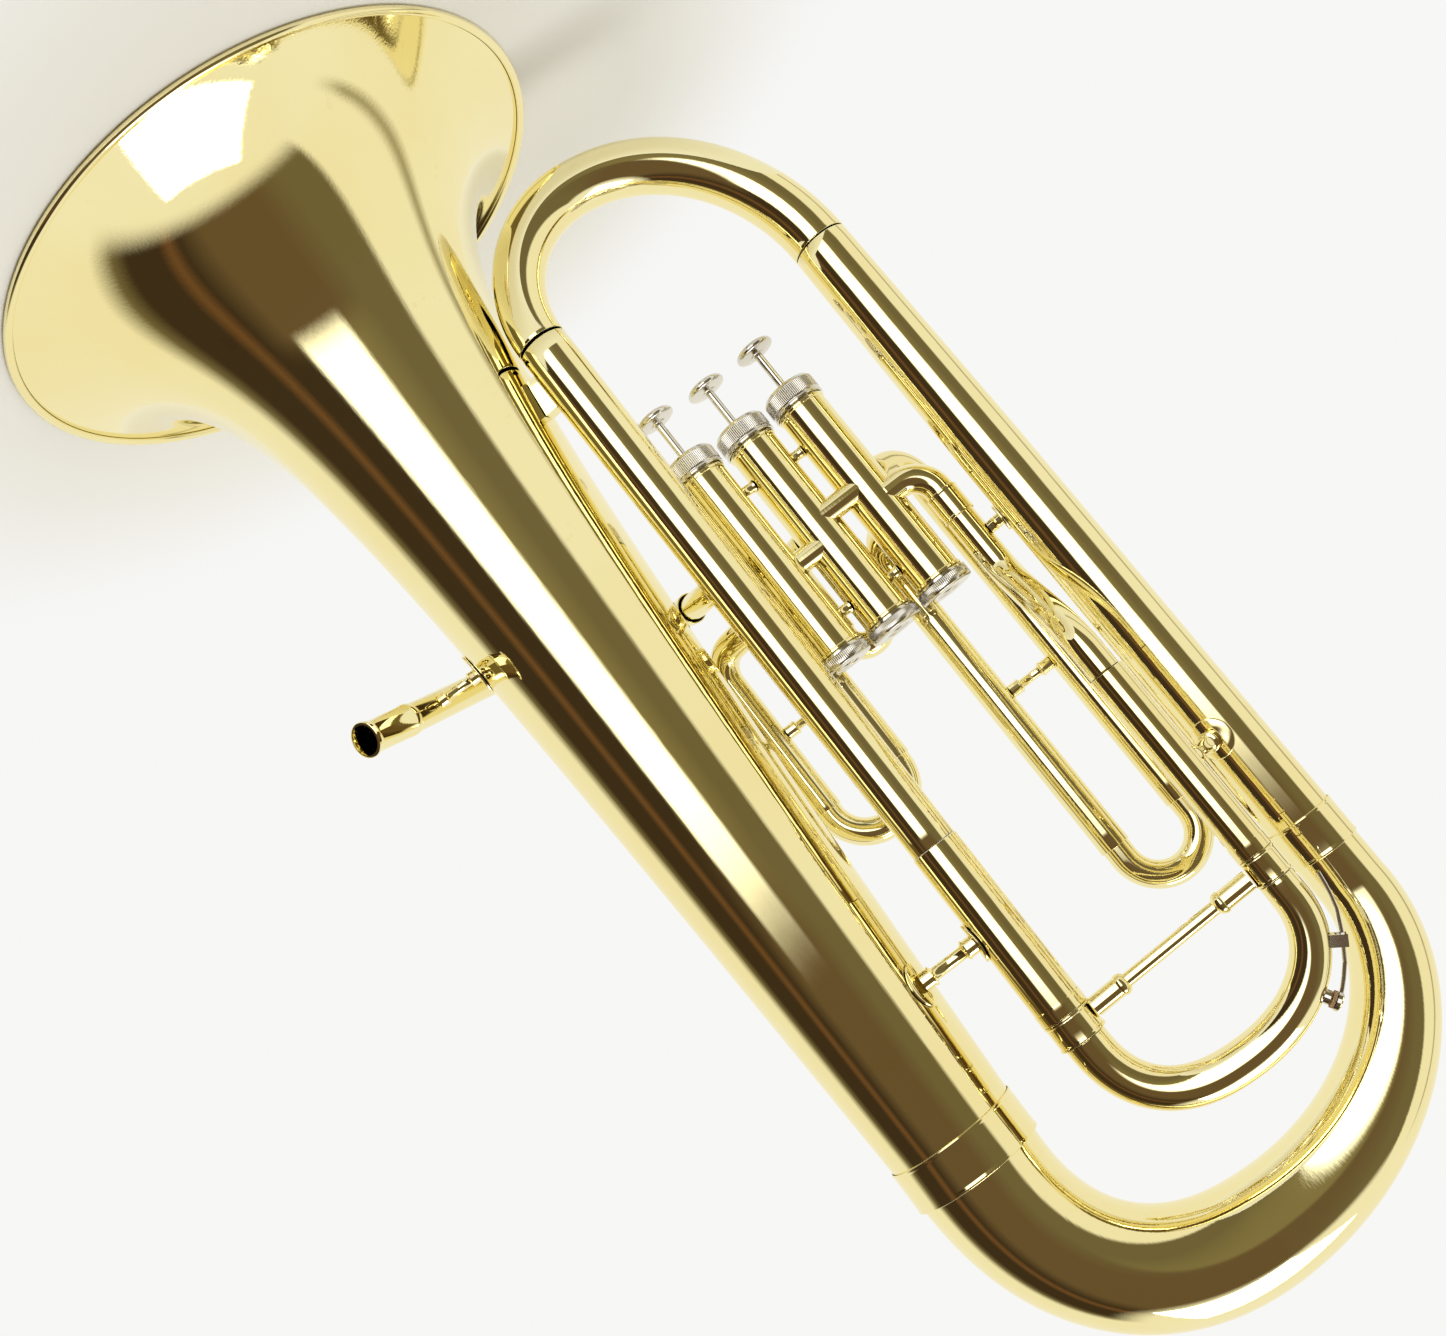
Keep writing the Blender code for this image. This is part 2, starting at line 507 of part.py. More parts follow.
def make_water_key(path, radii, crook, crook_cutter, axis):
    """Spout on the crook, saddle, sprung lever and its cork, all in the plane of the crook."""
    plan = (at(RIGHT_ACROSS, RIGHT_BACK, 0) - at(INNER_ACROSS, INNER_BACK, 0)).normalized()
    pin_axis = plan.cross(Vector((0, 0, 1))).normalized()
    travelled = taper(path, 0, 1)
    points = np.array([tuple(p) for p in path])

    def station(share, lift):
        """Point above the crook at a share of its length, the outward direction there and the one along it."""
        here = Vector([np.interp(share, travelled, points[:, k]) for k in range(3)])
        ahead = Vector([np.interp(share + 0.02, travelled, points[:, k]) for k in range(3)])
        behind = Vector([np.interp(share - 0.02, travelled, points[:, k]) for k in range(3)])
        along = (ahead - behind).normalized()
        outward = along.cross(pin_axis).normalized()
        if outward.dot(Vector((0, 0, 1)) + plan) < 0:
            outward = -outward
        radius = float(np.interp(share, travelled, radii))
        return here + outward * (radius + lift), outward, along

    foot, spout_out, _ = station(KEY_SPOUT_SHARE, -WALL / 2)
    spout_tip = station(KEY_SPOUT_SHARE, KEY_SPOUT_HEIGHT)[0]
    spout = rod("water_key_spout", [foot, spout_tip - spout_out * 0.0005, spout_tip],
                [KEY_SPOUT_RADIUS, KEY_SPOUT_RADIUS, KEY_SPOUT_RADIUS - 0.0004], "nickel_silver", 16, pin_axis)
    drill = helper(rod("spout_drill", [foot - spout_out * 0.004, spout_tip + spout_out * 0.002],
                       [KEY_SPOUT_RADIUS * 0.5] * 2, "steel", 12, pin_axis))
    cut(spout, crook_cutter, drill)
    cut(crook, drill)

    hinge, hinge_out, hinge_along = station(KEY_HINGE_SHARE, KEY_HINGE_LIFT)
    barrel_reach = KEY_BARREL_LENGTH / 2
    cheek = barrel_reach + GAP + KEY_CHEEK
    saddle = block("water_key_saddle", station(KEY_HINGE_SHARE, KEY_HINGE_LIFT / 2)[0],
                   (hinge_along, pin_axis, hinge_out), (0.0050, 2 * cheek, KEY_HINGE_LIFT + 2 * KEY_BARREL_RADIUS))
    floor = KEY_HINGE_LIFT - KEY_BARREL_RADIUS - 2 * GAP
    slot = helper(block("saddle_slot", station(KEY_HINGE_SHARE, floor + 0.006)[0], (hinge_along, pin_axis, hinge_out),
                        (0.012, 2 * (barrel_reach + GAP), 0.012)))
    cut(saddle, crook_cutter, slot)
    weld(saddle, rod("saddle_pin", [hinge - pin_axis * (cheek - GAP), hinge + pin_axis * (cheek - GAP)],
                     [KEY_PIN_RADIUS] * 2, "nickel_silver", 12, hinge_out))

    cork_foot = KEY_SPOUT_HEIGHT + GAP
    cup_foot = cork_foot + KEY_CORK_THICKNESS + GAP
    lever_lift = cup_foot + 0.0012
    shares = np.linspace(KEY_SPOUT_SHARE, KEY_TIP_SHARE, 11)
    lifts = np.interp(shares, [KEY_SPOUT_SHARE, KEY_HINGE_SHARE, KEY_TIP_SHARE], [lever_lift, KEY_HINGE_LIFT, KEY_TIP_LIFT])
    places = [station(share, lift) for share, lift in zip(shares, lifts)]
    widths = np.interp(shares, [KEY_SPOUT_SHARE, KEY_HINGE_SHARE, KEY_TIP_SHARE - 0.05, KEY_TIP_SHARE],
                       [0.0030, 0.0040, 0.0062, 0.0078])
    lever = strip("water_key_lever", [p[0] for p in places], [p[1] for p in places], pin_axis, widths,
                  [0.0016] * len(places), "nickel_silver")
    cup_start = station(KEY_SPOUT_SHARE, cup_foot)[0]
    cup = rod("key_cup", [cup_start, cup_start + spout_out * 0.0016, cup_start + spout_out * 0.0024],
              [KEY_CUP_RADIUS, KEY_CUP_RADIUS, KEY_CUP_RADIUS * 0.6], "nickel_silver", 16, pin_axis)
    barrel = rod("key_barrel", [hinge - pin_axis * barrel_reach, hinge + pin_axis * barrel_reach],
                 [KEY_BARREL_RADIUS] * 2, "nickel_silver", 16, hinge_out)
    pin_hole = helper(rod("pin_hole", [hinge - pin_axis * cheek * 1.5, hinge + pin_axis * cheek * 1.5],
                          [KEY_PIN_RADIUS + SLIDE_CLEARANCE * 1.5] * 2, "steel", 12, hinge_out))
    weld(lever, cup, barrel)
    cut(lever, pin_hole)
    cork_start = station(KEY_SPOUT_SHARE, cork_foot)[0]
    cork = rod("water_key_cork", [cork_start, cork_start + spout_out * KEY_CORK_THICKNESS],
               [KEY_CUP_RADIUS * 0.88] * 2, "cork", 16, pin_axis)

    key_axis = bpy.data.objects.new("water_key_axis", None)
    key_axis.location = hinge
    bpy.context.collection.objects.link(key_axis)
    for piece in (lever, cork):
        hang(piece, key_axis)
    for piece in (spout, saddle, key_axis):
        hang(piece, axis)


# ---- braces ------------------------------------------------------------------------------------
def plate(name, centre, outward, radius_at, half_height, half_width, thickness=0.0009):
    """Oval foot wrapped on an upright pipe: a disc carried round the pipe by arc length, GAP off it."""
    outward = Vector((outward[0], outward[1], 0)).normalized()
    sideways = Vector((-outward.y, outward.x, 0))
    rings = []
    steps = ((0.02, 0), (0.5, 0), (1, 0), (0.94, thickness), (0.5, thickness), (0.02, thickness))
    for share, height in steps:
        ring = []
        for i in range(20):
            angle = 2 * math.pi * (i + 0.37) / 20
            up = centre.z + half_height * share * math.cos(angle)
            radius = radius_at(up)
            turn = half_width * share * math.sin(angle) / radius
            direction = outward * math.cos(turn) + sideways * math.sin(turn)
            place = Vector((centre.x, centre.y, up)) + direction * (radius + height)
            ring.append(place)
        rings.append(ring)
    return skin(name, rings, "lacquered_brass", cyclic=False)


def brace(name, start, end, start_reach, end_reach, cutters, rod_radius=None, socket_radius=None,
          socket_length=0.006):
    """Rod from inside one pipe to inside the other, thick at its sockets, trimmed to both pipes.

    Each socket is socket_length long, or a third of the open length where the pipes stand close together.
    """
    rod_radius = rod_radius or ROD_RADIUS
    socket_radius = socket_radius or rod_radius * 1.5
    start, end = Vector(start), Vector(end)
    direction = (end - start).normalized()
    open_length = (end - start).length - start_reach - end_reach
    socket_length = min(socket_length, open_length / 3)
    first = start + direction * (start_reach + socket_length)
    last = end - direction * (end_reach + socket_length)
    step = direction * 0.0006
    points = [start + direction * start_reach * 0.7, first, first + step,
              last - step, last, end - direction * end_reach * 0.7]
    radii = [socket_radius, socket_radius, rod_radius, rod_radius, socket_radius, socket_radius]
    bar = rod(name, points, radii, reference=direction.orthogonal())
    return cut(bar, *[bpy.data.objects[c] for c in cutters])


def pipe_cutter(name, place, radius, low, high, sides=16):
    """Guide a gap larger than an upright pipe."""
    ends = between(at(*place, low), at(*place, high))
    return helper(rod(name, ends, [radius + GAP] * 2, "steel", sides, (0, 1, 0)))


def make_braces(outlet_place):
    # the bell to the left sleeve of the tuning slide
    up = BELL_BRACE
    sleeve = at(INNER_ACROSS, INNER_BACK, up)
    beyond = Vector((0.004, 0, 0))
    bell_side = at(math.sqrt(bell_radius(up) ** 2 - INNER_BACK ** 2), INNER_BACK, up)
    bar = brace("bell_brace", bell_side + beyond, sleeve, 0.004, LEFT_SLEEVE_RADIUS, (), BRACE_ROD_RADIUS)
    centre, outward = at(0, 0, up), bell_side - at(0, 0, up)
    weld(bar, plate("bell_brace_foot", centre, outward, bell_radius, 0.0105, 0.0075),
         plate("bell_brace_sleeve_foot", sleeve, (1, 0), lambda _: LEFT_SLEEVE_RADIUS, 0.0095, 0.0060))
    cut(bar, bpy.data.objects["bell_cutter"], bpy.data.objects["sleeve_left_cutter"])

    # the right sleeve to the outer branch
    up = BRANCH_BRACE
    sleeve, branch = at(RIGHT_ACROSS, RIGHT_BACK, up), at(SPAN, 0, up)
    bar = brace("outer_branch_brace", sleeve, branch, RIGHT_SLEEVE_RADIUS, BOW_BRANCH_RADIUS, (),
                BRACE_ROD_RADIUS)
    weld(bar,
         plate("branch_foot", branch, sleeve - branch, lambda _: BOW_BRANCH_RADIUS, 0.0093, 0.0093),
         plate("branch_sleeve_foot", sleeve, branch - sleeve, lambda _: RIGHT_SLEEVE_RADIUS, 0.0080, 0.0050))
    cut(bar, bpy.data.objects["sleeve_right_cutter"], bpy.data.objects["outer_branch_cutter"])

    # the outlet to the outer branch
    up = OUTLET_BRACE
    neck, branch = at(*outlet_place, up), at(SPAN, 0, up)
    bar = brace("outlet_brace", neck, branch, OUTLET_RADIUS, BOW_BRANCH_RADIUS, (), ROD_RADIUS)
    foot = plate("outlet_brace_foot", branch, neck - branch, lambda _: BOW_BRANCH_RADIUS, 0.0070, 0.0060)
    weld(bar, foot)
    cut(bar, pipe_cutter("neck_cutter", outlet_place, OUTLET_RADIUS + 0.0002, up - 0.008, up + 0.008, 20),
        bpy.data.objects["outer_branch_cutter"])

    # between the outer tubes of the first and third slides
    for name, sizes, up in (("first_slide", FIRST_SLIDE, FIRST_SLIDE_BRACE),
                            ("third_slide", THIRD_SLIDE, THIRD_SLIDE_BRACE)):
        ends = [at(sizes[side], SLIDE_BACK, up) for side in ("left", "right")]
        cutters = []
        for side in ("left", "right"):
            place = (sizes[side], SLIDE_BACK)
            around = pipe_cutter(f"{name}_{side}_cutter", place, SLEEVE_RADIUS, up - 0.02, up + 0.02)
            cutters.append(around.name)
        brace(f"{name}_brace", *ends, SLEEVE_RADIUS, SLEEVE_RADIUS, cutters)

    # the inner branch stands on the bell's flare
    up = BELL_SADDLE
    branch = at(INNER_ACROSS, INNER_BACK, up)
    towards = (at(0, 0, up) - branch).normalized()
    saddle = block("bell_saddle", branch + towards * (INNER_TOP_RADIUS + 0.0015),
                   (towards, towards.cross(Vector((0, 0, 1))), (0, 0, 1)), (0.010, 0.0090, 0.018),
                   "lacquered_brass")
    cut(saddle, bpy.data.objects["bell_cutter"], bpy.data.objects["inner_branch_cutter"])


# ---- leadpipe --------------------------------------------------------------------------------------
def make_leadpipe():
    mouth = at(*RECEIVER_MOUTH)
    inward = Vector((-math.cos(RECEIVER_ANGLE), math.sin(RECEIVER_ANGLE), LEADPIPE_DIP))
    inward.normalize()
    back = mouth + inward * RECEIVER_LENGTH
    lip = RECEIVER_RADIUS + 0.0009
    stations = [0, 0.0016, 0.0022, RECEIVER_LENGTH]
    radii = [lip, lip, RECEIVER_RADIUS, RECEIVER_RADIUS]
    path = [mouth + inward * d for d in stations]
    outer = rings_along(path, radii, 20, (0, 0, 1))
    inner_radii = [RECEIVER_BORE + 0.0004, RECEIVER_BORE + 0.0004, RECEIVER_BORE + 0.0002, RECEIVER_BORE - 0.0005]
    inner = rings_along(path, inner_radii, 20, (0, 0, 1))[::-1]
    skin("mouthpiece_receiver", list(outer) + list(inner), "lacquered_brass", cyclic=True)

    wrap = []
    for degrees, up in LEADPIPE_WRAP:
        angle = math.radians(degrees)
        wrap.append(at(LEADPIPE_RING * math.cos(angle), LEADPIPE_RING * math.sin(angle), up))
    across, depth = VALVES[0]
    port = at(across - 0.004, depth - 0.0050, LEADPIPE_PORT)
    points = [back + inward * GAP, back + inward * 0.012] + wrap + [at(0.0625, 0.0095, 0.2620), port]
    path = smooth(points, 3)
    radii = taper(path, LEADPIPE_RADIUS, LEADPIPE_PORT_RADIUS)
    cut(tube("leadpipe", path, radii, sides=12, reference=(0, 0, 1)), casing_cutter(0))
    port_drill(0, "leadpipe", path[-4:], LEADPIPE_PORT_RADIUS - WALL)

    low, high = FERRULE_SPAN
    outer = rings_along(path, radii + GAP + FERRULE_WALL, 12, (0, 0, 1))[low:high]
    inner = rings_along(path, radii + GAP, 12, (0, 0, 1))[low:high][::-1]
    skin("leadpipe_ferrule", list(outer) + list(inner), "lacquered_brass", cyclic=True)

    # the receiver is stayed to the bell
    hold = mouth + inward * RECEIVER_STAY
    centre = at(0, 0, hold.z)
    outward = hold - centre
    reach = bell_radius(hold.z)
    bar = brace("receiver_brace", centre + outward.normalized() * (reach - 0.004), hold, 0.004, LEADPIPE_RADIUS, ())
    weld(bar, plate("receiver_brace_foot", centre, outward, bell_radius, 0.0110, 0.0080))
    pipe = helper(rod("leadpipe_cutter", [mouth + inward * (RECEIVER_STAY + d) for d in (-0.012, 0.012)],
                      [LEADPIPE_RADIUS + 2 * GAP] * 2, "steel", 16, (0, 0, 1)))
    cut(bar, bpy.data.objects["bell_cutter"], pipe)


# ---- valves ------------------------------------------------------------------------------------
def make_valve(number, across, back):
    place = (BELL_X - across, back)
    name = f"valve_{number}"
    bore = CASING_BORE
    turned(f"{name}_casing", place,
           [(bore, CASING_START), (CASING_RADIUS, CASING_START), (CASING_RADIUS, CASING_END), (bore, CASING_END)],
           "lacquered_brass")

    inside = CASING_RADIUS + GAP
    roof = CASING_START - GAP
    edge = 0.0012
    turned(f"{name}_top_cap", place,
           [(STEM_HOLE_RADIUS, roof), (inside, roof), (inside, CAP_TOP + CAP_SKIRT),
            (CAP_RADIUS, CAP_TOP + CAP_SKIRT), (CAP_RADIUS, CAP_TOP + 2 * edge),
            (CAP_RADIUS - edge, CAP_TOP + edge / 2), (CAP_RADIUS - 3 * edge, CAP_TOP), (STEM_HOLE_RADIUS, CAP_TOP)],
           "nickel_silver")

    floor = CASING_END + GAP
    lip = floor - BOTTOM_CAP_SKIRT + BOTTOM_CAP_FLOOR
    turned(f"{name}_bottom_cap", place,
           [(BOTTOM_VENT_RADIUS, floor), (inside, floor), (inside, lip), (CAP_RADIUS, lip),
            (CAP_RADIUS, floor + BOTTOM_CAP_FLOOR - edge), (CAP_RADIUS - edge, floor + BOTTOM_CAP_FLOOR),
            (BOTTOM_VENT_RADIUS, floor + BOTTOM_CAP_FLOOR)],
           "nickel_silver")
    make_piston(name, place)
    make_spring(name, place)


def make_piston(name, place):
    """Piston with its stem, a button screwed on the stem, and the empty they hang from."""
    radius = CASING_BORE - SLIDE_CLEARANCE
    hollow = radius - 0.0012
    stem_end = BUTTON_TOP + BUTTON_THICKNESS + GAP
    profile = [(STEM_RADIUS, stem_end), (STEM_RADIUS, PISTON_START), (radius, PISTON_START),
               (radius, PISTON_END), (hollow, PISTON_END), (hollow, PISTON_FLOOR + 0.003),
               (STEM_RADIUS, PISTON_FLOOR)]
    piston = turned_solid(f"{name}_piston", place, profile, "nickel_silver")
    drill = helper(rod(f"{name}_port_drill", [Vector((place[0] + s * 2 * radius, place[1], PISTON_PORT)) for s in (-1, 1)],
                       [PISTON_PORT_RADIUS] * 2, "steel"))
    cut(piston, drill)

    rim = BUTTON_RADIUS
    button = turned_solid(f"{name}_button", place,
                          [(rim * 0.62, BUTTON_TOP + 0.0008), (rim * 0.70, BUTTON_TOP), (rim * 0.86, BUTTON_TOP + 0.0002),
                           (rim, BUTTON_TOP + 0.0016), (rim, BUTTON_TOP + 0.0030), (rim * 0.84, BUTTON_TOP + 0.0044),
                           (rim * 0.40, BUTTON_TOP + BUTTON_THICKNESS)], "nickel_silver")
    axis = bpy.data.objects.new(f"{name}_axis", None)
    axis.location = (place[0], place[1], CAP_TOP)
    bpy.context.collection.objects.link(axis)
    for piece in (piston, button, drill):
        hang(piece, axis)


def hang(piece, parent):
    """Parent the piece and keep it where it is."""
    piece.parent = parent
    piece.location -= parent.location


def make_spring(name, place):
    """Coil between the piston's skirt and the bottom cap."""
    low, high = PISTON_END + GAP + SPRING_WIRE, CASING_END - GAP / 2 - SPRING_WIRE
    steps = SPRING_TURNS * 8
    coil = [Vector((place[0] + SPRING_RADIUS * math.cos(2 * math.pi * i / 8),
                    place[1] + SPRING_RADIUS * math.sin(2 * math.pi * i / 8),
                    low + (high - low) * i / steps)) for i in range(steps + 1)]
    rod(f"{name}_spring", coil, [SPRING_WIRE] * len(coil), "steel", sides=4)


def casing_cutter(index):
    """Solid cylinder a gap larger than a casing, which trims the tubes that meet it."""
    name = f"casing_cutter_{index + 1}"
    if name not in bpy.data.objects:
        across, back = VALVES[index]
        reach = CASING_RADIUS + GAP
        helper(turned_solid(name, (BELL_X - across, back), [(reach, CASING_START - 0.02), (reach, CASING_END + 0.02)],
                            "steel"))
    return bpy.data.objects[name]


def port_drill(index, name, points, radius):
    """Open the casing's wall where a tube comes in."""
    drill = helper(rod(f"{name}_port_{index + 1}", points, [radius] * len(points), "steel"))
    cut(bpy.data.objects[f"valve_{index + 1}_casing"], drill)


def make_valve_links():
    """Knuckle tubes that carry the air from valve to valve, and the short bars between the casings."""
    for index, up in ((0, FIRST_KNUCKLE), (1, SECOND_KNUCKLE)):
        (a, _), (b, back) = VALVES[index], VALVES[index + 1]
        back -= CASING_RADIUS - KNUCKLE_RADIUS - 2 * GAP
        knuckle = tube(f"valve_knuckle_{index + 1}", between(at(a, back, up), at(b, back, up)),
                       [KNUCKLE_RADIUS] * 2, sides=16, reference=(0, 0, 1))
        cut(knuckle, casing_cutter(index), casing_cutter(index + 1))
        middle = (a + b) / 2
        port_drill(index, f"knuckle_{index + 1}", between(at(a + 0.004, back, up), at(middle, back, up)),
                   KNUCKLE_RADIUS - WALL)
        port_drill(index + 1, f"knuckle_{index + 1}", between(at(middle, back, up), at(b - 0.004, back, up)),
                   KNUCKLE_RADIUS - WALL)
    for index in (0, 1):
        for level, up in zip(("upper", "lower"), LINK_HEIGHTS):
            here, there = (at(*VALVES[i], up) for i in (index, index + 1))
            away = (there - here).normalized()
            reach = CASING_RADIUS + GAP
            bar = rod(f"valve_link_{index + 1}_{level}", [here + away * (CASING_BORE + CASING_WALL / 2),
                                                          there - away * reach * 0.8], [LINK_RADIUS] * 2)
            cut(bar, casing_cutter(index + 1))
            weld(bpy.data.objects[f"valve_{index + 1}_casing"], bar)


def make_outlet():
    """Elbow out of the third valve, its collar, and the neck pipe that steps forward to the tuning slide."""
    across, back = VALVES[2]
    back -= CASING_RADIUS - OUTLET_RADIUS - 2 * GAP
    corner = across + CASING_RADIUS + OUTLET_BEND
    start = corner - OUTLET_BEND
    bend = [at(start + OUTLET_BEND * math.sin(a), back, OUTLET + OUTLET_BEND * (1 - math.cos(a)))
            for a in (math.pi / 2 * i / 5 for i in range(6))]
    joint = (OUTLET_COLLAR[0] + OUTLET_COLLAR[1]) / 2
    elbow = [at(across, back, OUTLET)] + bend + [at(corner, back, joint - GAP / 2)]
    cut(tube("outlet_elbow", elbow, [OUTLET_RADIUS] * len(elbow), sides=14, reference=(0, 1, 0)), casing_cutter(2))
    port_drill(2, "outlet", between(at(across + 0.004, back, OUTLET), at(corner - OUTLET_BEND, back, OUTLET)),
               OUTLET_RADIUS - WALL)

    collar = OUTLET_RADIUS + GAP + FERRULE_WALL
    tube("outlet_ferrule", between(*[at(corner, back, up) for up in OUTLET_COLLAR]), [collar] * 2,
         FERRULE_WALL, sides=20)

    high, low = NECK_BEND
    neck = [at(corner, back, joint + GAP / 2)]
    for i in range(9):
        t = i / 8
        ease = t * t * (3 - 2 * t)
        neck.append(at(corner + (RIGHT_ACROSS - corner) * ease, back + (RIGHT_BACK - back) * ease,
                       high + (low - high) * t))
    neck.append(at(RIGHT_ACROSS, RIGHT_BACK, RIGHT_SLEEVE_START - GAP / 2))
    tube("neck_pipe", neck, [OUTLET_RADIUS] * len(neck), sides=14)
    return corner, back


# ---- valve slides --------------------------------------------------------------------------------
def make_valve_slide(name, sizes, valve):
    """Two fixed tubes from the valve's ports, and the crook whose inner legs slide in them."""
    across, back = VALVES[valve]
    axis = bpy.data.objects.new(f"{name}_axis", None)
    axis.location = at((sizes["left"] + sizes["right"]) / 2, SLIDE_BACK, sizes["end"])
    bpy.context.collection.objects.link(axis)
    for side in ("left", "right"):
        port = sizes[f"{side}_port"]
        place = sizes[side]
        away = Vector((place - across, SLIDE_BACK - back))
        distance = away.length
        away.normalize()
        bend = min(sizes["bend"], distance - CASING_RADIUS + 0.002)
        path = [at(across + away.x * d, back + away.y * d, port) for d in (0.004, distance - bend)]
        path += [at(across + away.x * (distance - bend + bend * math.sin(a)),
                    back + away.y * (distance - bend + bend * math.sin(a)),
                    port + bend * (1 - math.cos(a))) for a in (math.pi / 2 * i / 5 for i in range(1, 6))]
        path.append(at(place, SLIDE_BACK, sizes["end"]))
        pipe = tube(f"{name}_tube_{side}", path, [SLEEVE_RADIUS] * len(path), SLEEVE_WALL, sides=12,
                    reference=(away.y * away.x, away.x * away.x, -away.y))
        cut(pipe, casing_cutter(valve))
        port_drill(valve, f"{name}_{side}", path[:2], TUBE_RADIUS - 0.0004)
    left, right = (sizes["left"], SLIDE_BACK), (sizes["right"], SLIDE_BACK)
    tip = sizes["end"] - sizes["insert"]
    spring = sizes["lowest"] - (sizes["right"] - sizes["left"]) / 2
    bend = half_turn(at(*left, spring), at(*right, spring), sizes["lowest"] - spring, 11)
    path = [at(*left, tip)] + bend + [at(*right, tip)]
    crook = tube(f"{name}_crook", path, [TUBE_RADIUS] * len(path), SLEEVE_WALL, sides=12, reference=(0, 1, 0))
    hang(crook, axis)


def clear_scene():
    for obj in list(bpy.data.objects):
        bpy.data.objects.remove(obj, do_unlink=True)


def main():
    clear_scene()
    make_bell()
    make_bows()
    make_tuning_slide()
    for number, (across, back) in enumerate(VALVES, 1):
        make_valve(number, across, back)
    make_valve_links()
    outlet_place = make_outlet()
    for name, sizes, valve in (("first_slide", FIRST_SLIDE, 0), ("second_slide", SECOND_SLIDE, 1),
                               ("third_slide", THIRD_SLIDE, 2)):
        make_valve_slide(name, sizes, valve)
    make_leadpipe()
    make_braces(outlet_place)


main()
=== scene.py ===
import bpy
import numpy as np
from mathutils import Matrix, Vector


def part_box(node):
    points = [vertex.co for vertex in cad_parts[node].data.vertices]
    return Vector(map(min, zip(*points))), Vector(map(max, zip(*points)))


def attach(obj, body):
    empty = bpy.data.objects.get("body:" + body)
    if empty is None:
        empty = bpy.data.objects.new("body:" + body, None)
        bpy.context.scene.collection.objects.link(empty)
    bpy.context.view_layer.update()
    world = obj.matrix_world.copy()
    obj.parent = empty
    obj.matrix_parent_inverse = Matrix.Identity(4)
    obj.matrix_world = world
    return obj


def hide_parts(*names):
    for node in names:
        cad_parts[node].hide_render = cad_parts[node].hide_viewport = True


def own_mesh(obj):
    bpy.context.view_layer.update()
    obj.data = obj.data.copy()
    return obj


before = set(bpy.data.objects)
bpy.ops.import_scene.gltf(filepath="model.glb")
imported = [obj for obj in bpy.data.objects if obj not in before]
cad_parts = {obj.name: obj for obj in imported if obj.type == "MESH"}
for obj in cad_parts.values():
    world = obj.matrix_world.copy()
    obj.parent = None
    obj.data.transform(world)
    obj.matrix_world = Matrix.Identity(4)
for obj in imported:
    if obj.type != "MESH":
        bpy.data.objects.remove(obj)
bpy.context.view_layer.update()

GAP = 0.0003
COLLAR_TRIM = 0.0003  # drawn collars are this much slimmer than the CAD ones
WALL = 0.0007
SLEEVE_WALL = 0.0006


# ---- places read from the frame ---------------------------------------------------------------
def corners(node):
    """Lowest and highest corner of a node, as arrays."""
    low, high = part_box(node)
    return np.array(low, dtype=float), np.array(high, dtype=float)


def upright(node):
    """Axis (x, y), lowest z, highest z and widest radius of a node that stands upright."""
    low, high = corners(node)
    middle = (low + high) / 2
    return middle[0], middle[1], low[2], high[2], (high[1] - low[1]) / 2


BELL_X = upright("bell_rim_wire")[0]


def at(across, back, up):
    """World place from the distance across from the bell's axis, back, and up."""
    return np.array([BELL_X - across, back, up])


def across_of(node):
    return BELL_X - upright(node)[0]


# ---- surfaces -----------------------------------------------------------------------------------
def unit(vectors):
    return vectors / np.linalg.norm(vectors, axis=-1, keepdims=True)


def loft(name, grids):
    """Mesh from grids of points that close round their columns; rows wrap too, or first and last are capped.
    Faces join point (i, j) to (i+1, j), (i+1, j+1) and (i, j+1); a grid of negative signed volume is turned.
    """
    points, faces, offset = [], [], 0
    for grid, wraps in grids:
        rows, columns = grid.shape[:2]
        index = np.arange(rows * columns).reshape(rows, columns) + offset
        right = np.roll(index, -1, axis=1)
        steps = index if wraps else index[:-1]
        here = steps
        there = np.roll(index, -1, axis=0) if wraps else index[1:]
        side = right if wraps else right[:-1]
        corner = np.roll(right, -1, axis=0) if wraps else right[1:]
        quads = np.stack([here, there, corner, side], axis=-1).reshape(-1, 4)
        flat = grid.reshape(-1, 3)
        a, b, c = (flat[quads[:, k] - offset] for k in (0, 1, 2))
        d = flat[quads[:, 3] - offset]
        centre = flat.mean(axis=0)
        volume = (np.einsum("ij,ij->i", a - centre, np.cross(b - centre, c - centre)).sum()
                  + np.einsum("ij,ij->i", a - centre, np.cross(c - centre, d - centre)).sum())
        ends = [] if wraps else [index[0], index[-1][::-1]]
        if volume < 0:
            quads = quads[:, ::-1]
            ends = [end[::-1] for end in ends]
        points.append(flat)
        faces += quads.tolist() + [end.tolist() for end in ends]
        offset += len(flat)
    mesh = bpy.data.meshes.new(name)
    mesh.from_pydata(np.concatenate(points).tolist(), [], faces)
    mesh.shade_smooth()
    mesh.set_sharp_from_angle(angle=0.9)
    mesh.update()
    obj = bpy.data.objects.new(name, mesh)
    bpy.context.collection.objects.link(obj)
    return obj


def frames(path, reference):
    """Unit tangents, sides and seconds: side is the reference squared to the path, second is their cross."""
    tangents = unit(np.gradient(path, axis=0))
    reference = np.broadcast_to(np.asarray(reference, dtype=float), path.shape)
    sides = unit(reference - tangents * np.einsum("ij,ij->i", tangents, reference)[:, None])
    return tangents, sides, np.cross(tangents, sides)


